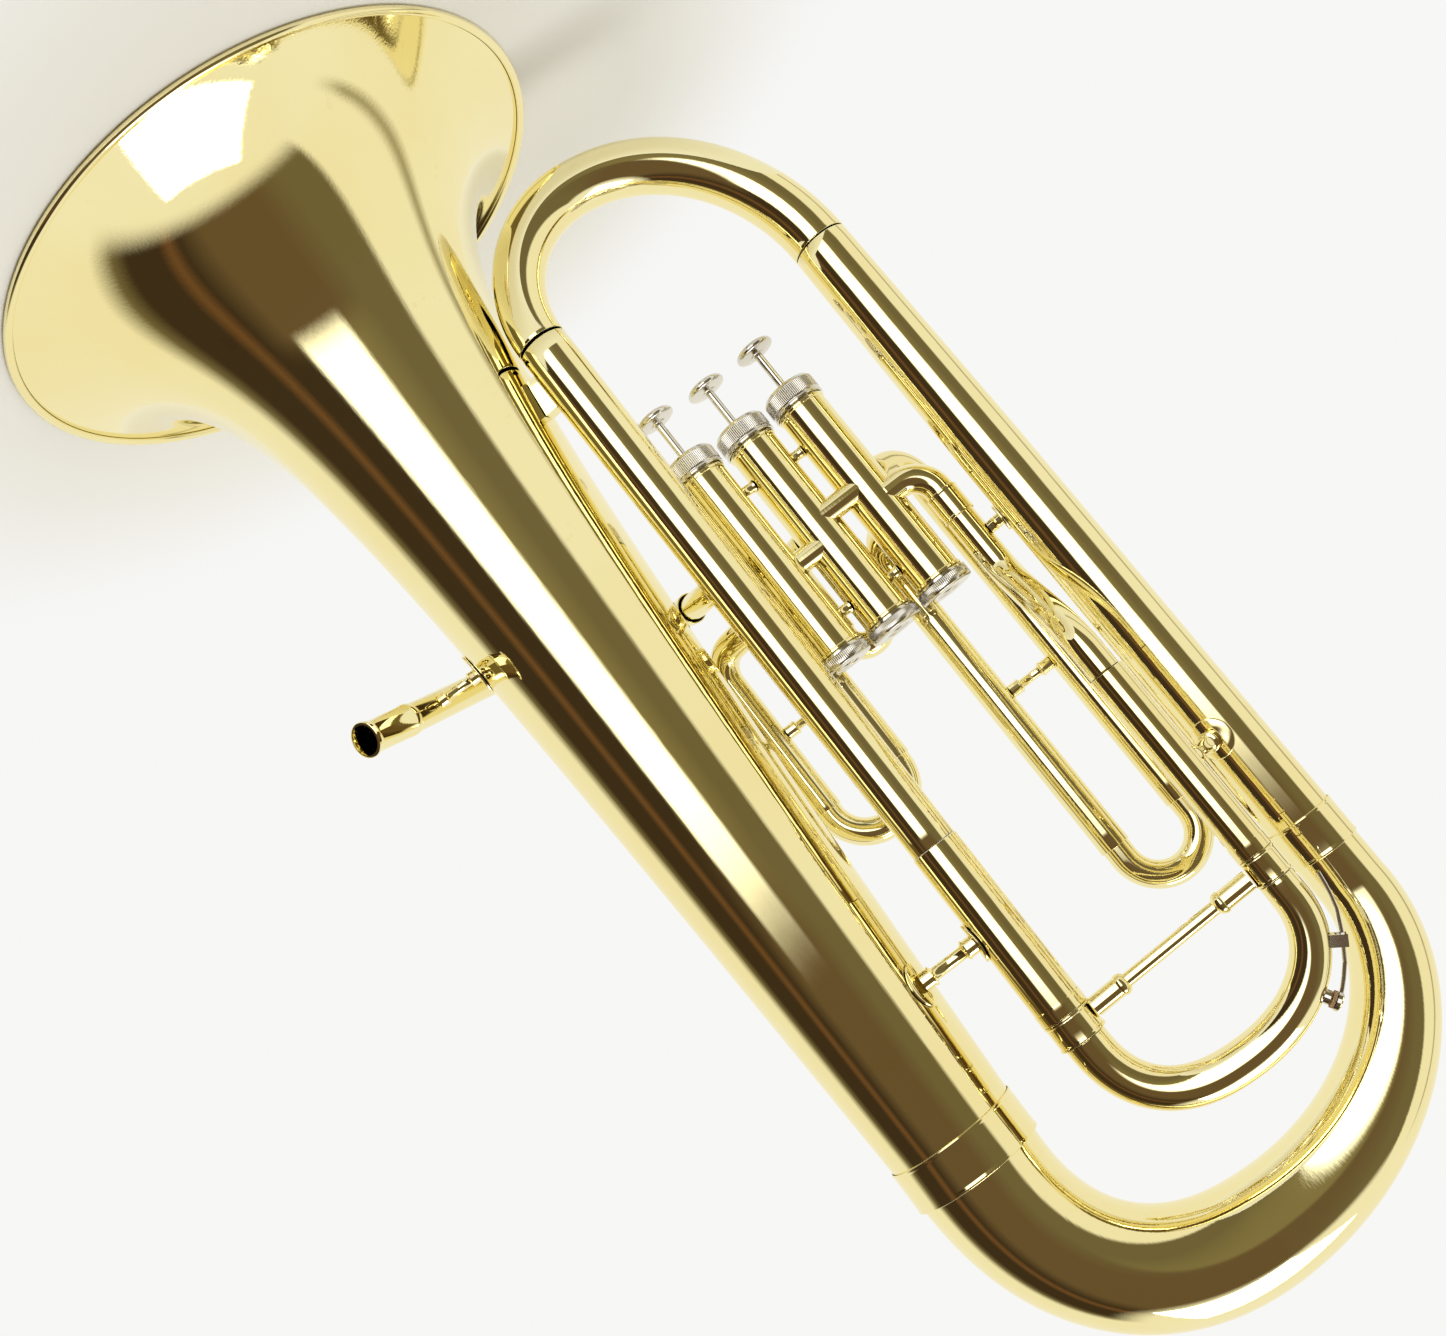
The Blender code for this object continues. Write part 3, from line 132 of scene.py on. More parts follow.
def pipe(path, radii, wall=WALL, reference=(0, 1, 0), sides=64):
    """Open tube: p + r (cos a side + sin a second) along the path, a half-round lip, and r - wall back."""
    path = np.asarray(path, dtype=float)
    radii = np.broadcast_to(np.asarray(radii, dtype=float), (len(path),))
    tangents, side, second = frames(path, reference)
    turn = np.linspace(0, 2 * np.pi, sides, endpoint=False)
    circle = np.cos(turn)[None, :, None] * side[:, None, :] + np.sin(turn)[None, :, None] * second[:, None, :]
    lip = np.linspace(0, np.pi, 6)[1:-1]
    end = np.full(4, len(path) - 1)
    start = np.zeros(4, dtype=int)
    order = np.concatenate([np.arange(len(path)), end, np.arange(len(path))[::-1], start])
    middle = radii - wall / 2
    reach = np.concatenate([radii, middle[-1] + wall / 2 * np.cos(lip), (radii - wall)[::-1],
                            middle[0] - wall / 2 * np.cos(lip)])
    inset = np.concatenate([np.zeros(len(path)), wall / 2 * (np.sin(lip) - 1), np.zeros(len(path)),
                            -wall / 2 * (np.sin(lip) - 1)])
    inset[[len(path) - 1, len(path) + 4]] = -wall / 2
    inset[[0, 2 * len(path) + 3]] = wall / 2
    grid = path[order][:, None, :] + tangents[order][:, None, :] * inset[:, None, None]
    grid = grid + reach[:, None, None] * circle[order]
    return grid, True


def turned(x, y, profile, sides=96, knurl=None):
    """Closed profile of (radius, height) points turned about an upright axis; knurl (low, high, depth, count)
    takes depth (1 - |cos(count a / 2)|) off the radius between the two heights."""
    profile = np.asarray(profile, dtype=float)
    turn = np.linspace(0, 2 * np.pi, sides, endpoint=False)
    radius = np.broadcast_to(profile[:, :1], (len(profile), sides)).copy()
    if knurl:
        low, high, depth, count = knurl
        outer = profile[:, 0] > profile[:, 0].max() - 0.0008
        inside = (profile[:, 1] > low) & (profile[:, 1] < high) & outer
        radius[inside] -= depth * (1 - np.abs(np.cos(count * turn / 2)))
    return np.stack([x + radius * np.sin(turn), y + radius * np.cos(turn),
                     np.broadcast_to(profile[:, 1:], radius.shape)], axis=-1), profile[:, 0].min() > 0.0005


def rounded(profile, radius=0.0003, steps=4):
    """The closed profile with each corner swept by a quadratic arc that starts and ends a radius from it."""
    profile = np.asarray(profile, dtype=float)
    before = np.roll(profile, 1, axis=0) - profile
    after = np.roll(profile, -1, axis=0) - profile
    reach_before = np.minimum(radius, np.linalg.norm(before, axis=1) * 0.45)
    reach_after = np.minimum(radius, np.linalg.norm(after, axis=1) * 0.45)
    start = profile + unit(before) * reach_before[:, None]
    stop = profile + unit(after) * reach_after[:, None]
    t = np.linspace(0, 1, steps)[None, :, None]
    curve = (1 - t) ** 2 * start[:, None] + 2 * t * (1 - t) * profile[:, None] + t ** 2 * stop[:, None]
    return curve.reshape(-1, 2)


def bar(start, end, stations, radii, sides=32):
    """Round bar from start to end: radius at each station along it, closed by flat ends."""
    start, end = np.asarray(start, dtype=float), np.asarray(end, dtype=float)
    along = unit(end - start)
    side = unit(np.cross(along, [0, 0, 1.0]) if abs(along[2]) < 0.9 else np.cross(along, [0, 1.0, 0]))
    second = np.cross(along, side)
    stations = np.concatenate([[stations[0]], stations, [stations[-1]]])
    radii = np.concatenate([[radii[0] * 0.3], radii, [radii[-1] * 0.3]])
    turn = np.linspace(0, 2 * np.pi, sides, endpoint=False)
    circle = np.cos(turn)[:, None] * side + np.sin(turn)[:, None] * second
    return start + along * stations[:, None, None] + radii[:, None, None] * circle[None], False


def foot(centre, outward, radius_at, half_height, half_width, thickness=0.0009):
    """Oval plate wrapped on an upright pipe: (rho, phi) goes to height rho h cos phi and arc rho w sin phi,
    standing off the pipe by a thickness that rounds away towards the rim."""
    outward = unit(np.array([outward[0], outward[1], 0.0]))
    sideways = np.array([-outward[1], outward[0], 0.0])
    rho = np.concatenate([[0.01, 0.5, 0.9, 1.0], [1.0, 0.985, 0.93, 0.6, 0.01]])
    height = np.concatenate([[0, 0, 0, 0.1], [0.55, 0.85, 1, 1, 1]]) * thickness
    phi = np.linspace(0, 2 * np.pi, 64, endpoint=False)
    up = centre[2] + half_height * rho[:, None] * np.cos(phi)[None]
    radius = radius_at(up) + GAP
    turn = half_width * rho[:, None] * np.sin(phi)[None] / radius
    reach = (radius + height[:, None])[..., None]
    flat = outward * np.cos(turn)[..., None] + sideways * np.sin(turn)[..., None]
    grid = flat * reach
    grid[..., 0] += centre[0]
    grid[..., 1] += centre[1]
    grid[..., 2] = up
    return grid, False


# ---- paths -------------------------------------------------------------------------------------------
def line(start, end, count=2):
    return np.linspace(start, end, count)


def even(path, count):
    """The same path with its points spread evenly along it."""
    travelled = np.concatenate([[0], np.cumsum(np.linalg.norm(np.diff(path, axis=0), axis=1))])
    wanted = np.linspace(0, travelled[-1], count)
    return np.stack([np.interp(wanted, travelled, path[:, k]) for k in range(3)], axis=1)


def travelled(path):
    length = np.concatenate([[0], np.cumsum(np.linalg.norm(np.diff(path, axis=0), axis=1))])
    return length / length[-1]


def bow(start, end, share, summit, powers=(2.0, 2.0), count=120):
    """Bend over a summit at a share of the way: each side is a quarter of a superellipse,
    along = 1 - |cos a|^(2/n) and up = |sin a|^(2/n)."""
    start, end = np.asarray(start, dtype=float), np.asarray(end, dtype=float)
    angle = np.linspace(0, np.pi, 1201)
    rising = angle <= np.pi / 2
    power = 2 / np.where(rising, powers[0], powers[1])
    reach = np.abs(np.cos(angle)) ** power
    along = np.where(rising, share * (1 - reach), share + (1 - share) * reach)
    path = start + (end - start) * along[:, None]
    feet = np.where(rising, start[2], end[2])
    path[:, 2] = feet + (summit - feet) * np.abs(np.sin(angle)) ** power
    return even(path, count)


def spline(points, per_span=16):
    """Catmull-Rom curve: each span is the cubic through its two points with neighbours' chords as slopes."""
    points = np.asarray(points, dtype=float)
    padded = np.vstack([2 * points[0] - points[1], points, 2 * points[-1] - points[-2]])
    a, b, c, d = (padded[k:len(padded) - 3 + k][:, None, :] for k in range(4))
    t = (np.arange(per_span) / per_span)[None, :, None]
    curve = 0.5 * (2 * b + (c - a) * t + (2 * a - 5 * b + 4 * c - d) * t ** 2
                   + (3 * b - a - 3 * c + d) * t ** 3)
    return np.vstack([curve.reshape(-1, 3), points[-1]])


# ---- finishes ---------------------------------------------------------------------------------------
def metal(name, light, deep, gloss=(0.10, 0.22), blotch=7.0, scratch=0.05, coat=0.25, tarnish=None):
    """Polished metal: two tints mixed by a slow noise, gloss broken by handling marks, fine scratches."""
    material = bpy.data.materials.new(name)
    material.use_nodes = True
    nodes, links = material.node_tree.nodes, material.node_tree.links
    shader = nodes["Principled BSDF"]
    shader.inputs["Metallic"].default_value = 1.0
    shader.inputs["Coat Weight"].default_value = coat
    shader.inputs["Coat Roughness"].default_value = 0.06
    place = nodes.new("ShaderNodeTexCoord")

    def noise(scale, detail=4.0, rough=0.55, stretch=None):
        texture = nodes.new("ShaderNodeTexNoise")
        texture.inputs["Scale"].default_value = scale
        texture.inputs["Detail"].default_value = detail
        texture.inputs["Roughness"].default_value = rough
        source = place.outputs["Object"]
        if stretch:
            mapping = nodes.new("ShaderNodeMapping")
            mapping.inputs["Scale"].default_value = stretch
            links.new(source, mapping.inputs["Vector"])
            source = mapping.outputs["Vector"]
        links.new(source, texture.inputs["Vector"])
        return texture

    def spread(texture, low, high, to_low, to_high):
        remap = nodes.new("ShaderNodeMapRange")
        for socket, value in (("From Min", low), ("From Max", high), ("To Min", to_low), ("To Max", to_high)):
            remap.inputs[socket].default_value = value
        links.new(texture.outputs["Fac"], remap.inputs["Value"])
        return remap

    tint = nodes.new("ShaderNodeMix")
    tint.data_type = "RGBA"
    tint.inputs["A"].default_value = (*light, 1)
    tint.inputs["B"].default_value = (*deep, 1)
    links.new(spread(noise(blotch), 0.38, 0.68, 0, 1).outputs["Result"], tint.inputs["Factor"])
    colour = tint.outputs["Result"]
    if tarnish:
        spots = nodes.new("ShaderNodeMix")
        spots.data_type = "RGBA"
        spots.inputs["B"].default_value = (*tarnish, 1)
        links.new(colour, spots.inputs["A"])
        specks = spread(noise(46.0, 6.0, 0.7), 0.63, 0.78, 0, 0.55)
        links.new(specks.outputs["Result"], spots.inputs["Factor"])
        colour = spots.outputs["Result"]
    links.new(colour, shader.inputs["Base Color"])

    smear = spread(noise(24.0, 5.0, 0.6), 0.35, 0.7, gloss[0], gloss[1])
    links.new(smear.outputs["Result"], shader.inputs["Roughness"])

    drawn = noise(1.0, 3.0, 0.5, stretch=(900, 900, 60))
    dents = noise(30.0, 2.0, 0.5)
    fine = nodes.new("ShaderNodeBump")
    fine.inputs["Strength"].default_value = scratch
    fine.inputs["Distance"].default_value = 0.0002
    links.new(drawn.outputs["Fac"], fine.inputs["Height"])
    broad = nodes.new("ShaderNodeBump")
    broad.inputs["Strength"].default_value = 0.05
    broad.inputs["Distance"].default_value = 0.0006
    links.new(dents.outputs["Fac"], broad.inputs["Height"])
    links.new(fine.outputs["Normal"], broad.inputs["Normal"])
    links.new(broad.outputs["Normal"], shader.inputs["Normal"])
    return material


def cork_grain(name):
    """Cork: warm brown cells with dark flecks and a dry surface."""
    material = bpy.data.materials.new(name)
    material.use_nodes = True
    nodes, links = material.node_tree.nodes, material.node_tree.links
    shader = nodes["Principled BSDF"]
    shader.inputs["Roughness"].default_value = 0.9
    place = nodes.new("ShaderNodeTexCoord")
    cells = nodes.new("ShaderNodeTexVoronoi")
    cells.inputs["Scale"].default_value = 1400
    links.new(place.outputs["Object"], cells.inputs["Vector"])
    tint = nodes.new("ShaderNodeMix")
    tint.data_type = "RGBA"
    tint.inputs["A"].default_value = (0.30, 0.17, 0.08, 1)
    tint.inputs["B"].default_value = (0.60, 0.40, 0.22, 1)
    links.new(cells.outputs["Distance"], tint.inputs["Factor"])
    links.new(tint.outputs["Result"], shader.inputs["Base Color"])
    bump = nodes.new("ShaderNodeBump")
    bump.inputs["Strength"].default_value = 0.4
    bump.inputs["Distance"].default_value = 0.0002
    links.new(cells.outputs["Distance"], bump.inputs["Height"])
    links.new(bump.outputs["Normal"], shader.inputs["Normal"])
    return material


LACQUER = metal("lacquered_brass", (0.94, 0.86, 0.50), (0.92, 0.81, 0.42), (0.015, 0.045),
                tarnish=(0.80, 0.64, 0.28))
SATIN = metal("lacquered_brass_worn", (0.93, 0.85, 0.49), (0.90, 0.78, 0.39), (0.02, 0.06), scratch=0.06,
              tarnish=(0.78, 0.60, 0.26))
SILVER = metal("nickel_silver", (0.80, 0.78, 0.74), (0.66, 0.63, 0.58), (0.09, 0.22), coat=0.0,
               tarnish=(0.40, 0.34, 0.26))
STEEL = metal("spring_steel", (0.58, 0.58, 0.60), (0.44, 0.44, 0.46), (0.22, 0.35), coat=0.0)
CORK = cork_grain("cork_grain")


def piece(name, grids, body, material, nodes):
    """Loft the grids into a piece that rides on a body and stands for its nodes."""
    obj = loft(name, grids if isinstance(grids, list) else [grids])
    obj.data.materials.append(material)
    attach(obj, body)
    if nodes:
        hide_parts(*nodes)
    return obj


# ---- bell ------------------------------------------------------------------------------------------
BELL_TOP = 0.5225
BELL_TOP_RADIUS = 0.0292
BELL_TAPER = 0.045
RIM_WIRE = 0.0020
MOUTH = upright("bell_rim_wire")[4]
FLARE = MOUTH - 2 * RIM_WIRE - GAP - BELL_TOP_RADIUS - BELL_TAPER * (BELL_TOP - RIM_WIRE)


def bell_radius(up):
    """Straight taper plus a lip that falls as (1 + height / 85 mm) to the power -2.4."""
    return (BELL_TOP_RADIUS + BELL_TAPER * (BELL_TOP - up)
            + FLARE / (1 + np.maximum(up - RIM_WIRE, 0) / 0.085) ** 2.4)


def make_bell():
    up = RIM_WIRE + (BELL_TOP - GAP / 2 - RIM_WIRE) * np.linspace(0, 1, 160) ** 1.8
    radius = bell_radius(up)
    slope = np.gradient(radius, up)
    across = unit(np.stack([np.ones_like(up), -slope], axis=1))
    outer = np.stack([radius, up], axis=1)
    inner = outer - WALL * across
    profile = np.vstack([outer, inner[::-1]])
    piece("bell_flare", turned(BELL_X, 0, profile, sides=288), "instrument", LACQUER, ["bell"])

    turn = np.linspace(0, 2 * np.pi, 32, endpoint=False)
    wire = np.stack([MOUTH - RIM_WIRE + RIM_WIRE * np.cos(turn), RIM_WIRE + RIM_WIRE * np.sin(turn)], axis=1)
    piece("rolled_rim", turned(BELL_X, 0, wire, sides=288), "instrument", LACQUER, ["bell_rim_wire"])


def ring_collar(name, node, bore, material=LACQUER, bead=0.0002, body="instrument"):
    """Collar turned about an upright axis with a proud bead at both ends and rounded edges."""
    x, y, low, high, radius = upright(node)
    radius -= COLLAR_TRIM
    edge = 0.0011
    profile = [(bore, low), (radius, low), (radius, low + edge), (radius - bead, low + 1.5 * edge),
               (radius - bead, high - 1.5 * edge), (radius, high - edge), (radius, high), (bore, high)]
    piece(name, turned(x, y, rounded(profile, 0.0004), sides=128), body, material, [node])


# ---- bows and branches -----------------------------------------------------------------------------
BOW_SPRING = 0.5330
BOW_SUMMIT = 0.6205
BOW_SHARE = 0.44
BOW_MIDDLE_RADIUS = 0.0237
BRANCH_EVEN = 0.2900
BRANCH_TOP_RADIUS = 0.0137
TOP_BOW_LOWEST = 0.0736
TOP_BOW_SHARE = 0.405
INNER_TOP_RADIUS = 0.0121
INNER_LOW_RADIUS = 0.0106
SPAN = across_of("outer_branch")
BRANCH_JOINT = upright("outer_branch")[3] + GAP / 2
INNER = upright("inner_branch")


def make_bows():
    bow_radius = upright("outer_branch")[4]
    bend = bow(at(0, 0, BOW_SPRING), at(SPAN, 0, BOW_SPRING), BOW_SHARE, BOW_SUMMIT, (2.3, 2.0), 150)
    path = np.vstack([line(at(0, 0, BELL_TOP + GAP / 2), bend[0], 5)[:-1], bend,
                      line(bend[-1], at(SPAN, 0, BRANCH_JOINT + GAP / 2), 9)[1:]])
    share = np.concatenate([np.zeros(4), travelled(bend), np.ones(8)])
    radii = np.interp(share, [0, 0.45, 1], [BELL_TOP_RADIUS, BOW_MIDDLE_RADIUS, bow_radius])
    piece("bottom_bow_shell", pipe(path, radii, sides=96), "instrument", LACQUER, ["bottom_bow"])

    x, y, low, high, _ = upright("outer_branch")
    up = np.linspace(low, high, 60)
    path = np.stack([np.full(60, x), np.full(60, y), up], axis=1)
    radii = np.interp(up, [low, BRANCH_EVEN], [BRANCH_TOP_RADIUS, bow_radius])
    piece("outer_branch_tube", pipe(path, radii, sides=96), "instrument", LACQUER, ["outer_branch"])

    left = INNER[2]
    bend = bow(at(across_of("inner_branch"), INNER[1], left - 0.0015), at(SPAN, 0, low - 0.00075),
               TOP_BOW_SHARE, TOP_BOW_LOWEST, (2.0, 2.0), 140)
    radii = np.interp(travelled(bend), [0, 1], [INNER_TOP_RADIUS, BRANCH_TOP_RADIUS])
    piece("top_bow_bend", pipe(bend, radii, sides=80), "instrument", LACQUER, ["top_bow"])

    x, y, low, high, _ = INNER
    path = line(at(BELL_X - x, y, low), at(BELL_X - x, y, high), 40)
    radii = np.linspace(INNER_TOP_RADIUS, INNER_LOW_RADIUS, 40)
    piece("inner_branch_tube", pipe(path, radii, sides=80), "instrument", LACQUER, ["inner_branch"])


# ---- main tuning slide ------------------------------------------------------------------------------
def sleeve(name, node, body="instrument", material=SATIN):
    """Outer tube of a slide with a slightly proud hoop at its open end."""
    x, y, low, high, radius = upright(node)
    profile = [(radius - SLEEVE_WALL, low), (radius - 0.0002, low), (radius - 0.0002, high - 0.006),
               (radius, high - 0.0056), (radius, high), (radius - SLEEVE_WALL, high)]
    piece(name, turned(x, y, rounded(profile, 0.0002), sides=96), body, material, [node])


def leg(name, node, sleeve_node):
    """Polished inner leg with the collar that meets the crook, beaded at both ends."""
    x, y, low, high, radius = upright(node)
    inner = upright(sleeve_node)[4] - SLEEVE_WALL - 0.0001
    shoulder = upright(sleeve_node)[3] + GAP
    edge = 0.0010
    profile = [(inner - SLEEVE_WALL, low), (inner, low), (inner, shoulder), (radius, shoulder),
               (radius, shoulder + edge), (radius - 0.0004, shoulder + 1.6 * edge),
               (radius - 0.0004, high - 1.6 * edge), (radius, high - edge), (radius, high),
               (radius - SLEEVE_WALL, high), (radius - SLEEVE_WALL - 0.0004, shoulder + edge),
               (inner - SLEEVE_WALL, shoulder)]
    piece(name, turned(x, y, rounded(profile, 0.0003), sides=96), "tuning_slide", LACQUER, [node])


def make_tuning_slide():
    for side in ("left", "right"):
        sleeve(f"tuning_slide_sleeve_{side}", f"tuning_sleeve_{side}")
        leg(f"tuning_slide_leg_{side}", f"tuning_leg_{side}", f"tuning_sleeve_{side}")
    left, right = upright("tuning_leg_left"), upright("tuning_leg_right")
    left_up, right_up = left[3] + GAP, right[3] + GAP
    spring = max(left_up, right_up) + 4 * GAP
    a, b = np.array([left[0], left[1], spring]), np.array([right[0], right[1], spring])
    bend = bow(a, b, 0.45, 0.5570, (2.4, 2.1), 130)
    path = np.vstack([line([a[0], a[1], left_up], a, 4)[:-1], bend, line(b, [b[0], b[1], right_up], 6)[1:]])
    radii = np.interp(travelled(path), [0, 1], [0.0096, 0.0077])
    plane = np.cross(b - a, [0, 0, 1.0])
    piece("tuning_crook_bend", pipe(path, radii, reference=plane, sides=72), "tuning_slide", LACQUER,
          ["tuning_crook"])

    rise_left, rise_right = upright("tuning_sleeve_left")[3], upright("tuning_sleeve_right")[3]
    start = np.array([left[0], left[1], rise_left + 0.45 * 0.0124])
    stop = np.array([right[0], right[1], rise_right + 0.55 * 0.0124])
    piece("tuning_pull_rod", [stay(start, stop, left[4], right[4], 0.0030, 0.0044, 0.017)],
          "tuning_slide", LACQUER, ["tuning_pull_brace"])


# ---- stays ------------------------------------------------------------------------------------------
def stay(start, stop, start_radius, stop_radius, rod, socket, socket_length, sunk=0.0002):
    """Turned stay between two pipes: socket, shoulder with a small bead, slim rod, and the same again."""
    start, stop = np.asarray(start, dtype=float), np.asarray(stop, dtype=float)
    length = np.linalg.norm(stop - start)
    first, last = start_radius + sunk, length - stop_radius - sunk
    shape = np.array([(0, 1.0), (0.78, 1.0), (0.80, 1.10), (0.88, 1.12), (0.95, 1.02), (1.0, 0.86)])
    near = first + shape[:, 0] * socket_length
    far = last - shape[::-1, 0] * socket_length
    stations = np.concatenate([near, [near[-1] + 0.0006, far[0] - 0.0006], far])
    radii = np.concatenate([shape[:, 1] * socket, [rod, rod], shape[::-1, 1] * socket])
    return bar(start, stop, stations, radii)


def make_stays():
    low, high = corners("bell_brace")
    up = (low[2] + high[2]) / 2
    sleeve_at = upright("tuning_sleeve_left")
    side = np.sqrt(bell_radius(up) ** 2 - sleeve_at[1] ** 2)
    bell_side = np.array([BELL_X - side, sleeve_at[1], up])
    sleeve_side = np.array([sleeve_at[0], sleeve_at[1], up])
    piece("bell_stay", [stay(bell_side, sleeve_side, 0.0008, sleeve_at[4], 0.0029, 0.0042, 0.006),
                        foot([BELL_X, 0, up], bell_side - [BELL_X, 0, up], bell_radius, 0.0105, 0.0075),
                        foot(sleeve_side, (1, 0), lambda z: np.full_like(z, sleeve_at[4]), 0.0095, 0.0060)],
          "instrument", LACQUER, ["bell_brace"])

    low, high = corners("outer_branch_brace")
    up = (low[2] + high[2]) / 2
    branch, right = upright("outer_branch"), upright("tuning_sleeve_right")
    a, b = np.array([right[0], right[1], up]), np.array([branch[0], branch[1], up])
    piece("branch_stay", [stay(a, b, right[4], branch[4], 0.0029, 0.0042, 0.006),
                          foot(b, (a - b), lambda z: np.full_like(z, branch[4]), 0.0093, 0.0093),
                          foot(a, (b - a), lambda z: np.full_like(z, right[4]), 0.0080, 0.0050)],
          "instrument", LACQUER, ["outer_branch_brace"])

    low, high = corners("outlet_brace")
    up = (low[2] + high[2]) / 2
    outlet = upright("outlet_ferrule")
    a, b = np.array([outlet[0], outlet[1], up]), np.array([branch[0], branch[1], up])
    piece("outlet_stay", [stay(a, b, 0.0069, branch[4], 0.0022, 0.0030, 0.0035),
                          foot(b, (a - b), lambda z: np.full_like(z, branch[4]), 0.0070, 0.0060)],
          "instrument", LACQUER, ["outlet_brace"])

    for name in ("first_slide", "third_slide"):
        low, high = corners(f"{name}_brace")
        up = (low[2] + high[2]) / 2
        a = np.array([high[0] + SLIDE_TUBE, SLIDE_BACK, up])
        b = np.array([low[0] - SLIDE_TUBE, SLIDE_BACK, up])
        piece(f"{name}_stay", [stay(a, b, SLIDE_TUBE, SLIDE_TUBE, 0.0022, 0.0033, 0.006)],
              "instrument", LACQUER, [f"{name}_brace"])


# ---- valves ------------------------------------------------------------------------------------------
CASING = 0.0119
LINK_HEIGHTS = 0.2340, 0.3060


def seated(shape, x, y):
    """Tube grid whose points inside an upright casing are moved along x out to its wall, sqrt(r^2 - dy^2)."""
    grid, wraps = shape
    grid = grid.copy()
    depth = np.sqrt(np.maximum((CASING - 0.0002) ** 2 - (grid[..., 1] - y) ** 2, 0))
    offset = grid[..., 0] - x
    inside = np.abs(offset) < depth
    grid[..., 0] = np.where(inside, x + np.sign(offset) * depth, grid[..., 0])
    return grid, wraps


def casing_links(number):
    """Two short round bars from this casing to the next one, a gap short of it; the last casing has none."""
    if number == 3:
        return []
    here, there = (np.array(upright(f"valve_{n}_top_cap")[:2] + (0,)) for n in (number, number + 1))
    along = unit(there - here)
    links = []
    for up in LINK_HEIGHTS:
        start = here + along * (CASING - 0.0004) + [0, 0, up]
        stop = there - along * (CASING + GAP) + [0, 0, up]
        length = np.linalg.norm(stop - start)
        links.append(bar(start, stop, [0, 0.0006, 0.0012, length - 0.0012, length - 0.0006, length],
                         [0.0031, 0.0029, 0.0026, 0.0026, 0.0029, 0.0031]))
    return links


def make_valves():
    for number in (1, 2, 3):
        name = f"valve_{number}"
        x, y, low, high, _ = upright(f"{name}_top_cap")
        casing = CASING
        cap = casing + GAP + 0.0011
        _, _, body_low, body_high, _ = upright(f"{name}_casing")
        bore = casing - 0.0008
        rings = []
        for foot_up, direction in ((high + 0.0006, 1), (upright(f"{name}_bottom_cap")[2] - 0.0006, -1)):
            band = [(casing, foot_up), (casing + 0.0006, foot_up + 0.0003 * direction),
                    (casing + 0.0006, foot_up + 0.0015 * direction), (casing, foot_up + 0.0018 * direction)]
            rings.append(band if direction > 0 else band[::-1])
        profile = [(bore, body_low), (casing, body_low)] + rings[0] + rings[1]
        profile += [(casing, body_high), (bore, body_high)]
        piece(f"{name}_cylinder", [turned(x, y, rounded(profile, 0.0002), sides=128)] + casing_links(number),
              "instrument", LACQUER, [f"{name}_casing"])

        roof = body_low - GAP
        shell = casing + GAP
        profile = [(0.0031, roof), (shell, roof), (shell, high), (cap, high), (cap, high - 0.0010),
                   (cap - 0.0004, high - 0.0015), (cap - 0.0004, high - 0.0020), (cap, high - 0.0025)]
        profile += [(cap, low + k * 0.0011 + 0.0026) for k in (4, 3, 2, 1, 0)]
        profile += [(cap - 0.0004, low + 0.0020), (cap - 0.0012, low + 0.0008), (cap - 0.0036, low),
                    (0.0052, low), (0.0050, low + 0.0003), (0.0031, low + 0.0003)]
        knurl = (low + 0.0025, high - 0.0024, 0.00025, 90)
        piece(f"{name}_knurled_top_cap", turned(x, y, rounded(profile, 0.0002, 3), sides=360, knurl=knurl),
              "instrument", SILVER, [f"{name}_top_cap"])

        x, y, low, high, _ = upright(f"{name}_bottom_cap")
        floor = body_high + GAP
        profile = [(0.0020, floor), (shell, floor), (shell, low), (cap, low), (cap, low + 0.0008)]
        profile += [(cap, low + 0.0014 + k * 0.0010) for k in range(3)]
        profile += [(cap, high - 0.0013), (cap - 0.0003, high - 0.0005), (cap - 0.0012, high), (0.0062, high),
                    (0.0056, high - 0.0005), (0.0020, high - 0.0005)]
        knurl = (low + 0.0012, high - 0.0016, 0.00022, 90)
        piece(f"{name}_knurled_bottom_cap", turned(x, y, rounded(profile, 0.0002, 3), sides=360, knurl=knurl),
              "instrument", SILVER, [f"{name}_bottom_cap"])

        x, y, low, high, rim = upright(f"{name}_button")
        profile = [(0.0002, low + 0.0011), (rim * 0.45, low + 0.0010), (rim * 0.66, low + 0.0006),
                   (rim * 0.74, low), (rim * 0.84, low), (rim * 0.97, low + 0.0009),
                   (rim, low + 0.0018), (rim, low + 0.0027),
                   (rim * 0.93, low + 0.0035), (rim * 0.72, low + 0.0041), (rim * 0.46, low + 0.0045),
                   (rim * 0.40, high), (0.0002, high)]
        piece(f"{name}_finger_button", turned(x, y, rounded(profile, 0.0004), sides=96), name, SILVER,
              [f"{name}_button"])


def make_springs():
    """Coils from the pistons' floors to the bottom caps, where each stays fixed on the instrument."""
    wire, turns = 0.0005, 5
    for number in (1, 2, 3):
        name = f"valve_{number}"
        x, y, low, high, reach = upright(f"{name}_spring")
        turn = np.linspace(0, 2 * np.pi * turns, 64 * turns + 1)
        path = np.stack([x + (reach - wire) * np.cos(turn), y + (reach - wire) * np.sin(turn),
                         np.linspace(low + wire, high - wire, len(turn))], axis=1)
        _, side, second = frames(path, (0, 0, 1))
        around = np.linspace(0, 2 * np.pi, 12, endpoint=False)[None, :, None]
        circle = np.cos(around) * side[:, None, :] + np.sin(around) * second[:, None, :]
        grid = path[:, None, :] + wire * circle
        coil = piece(f"{name}_coil", (grid, False), "instrument", STEEL, [f"{name}_spring"])
        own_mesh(coil)


SLIDE_TUBE = 0.0073
SLIDE_LEG = 0.0066
SLIDE_BACK = (corners("first_slide_crook")[0][1] + corners("first_slide_crook")[1][1]) / 2


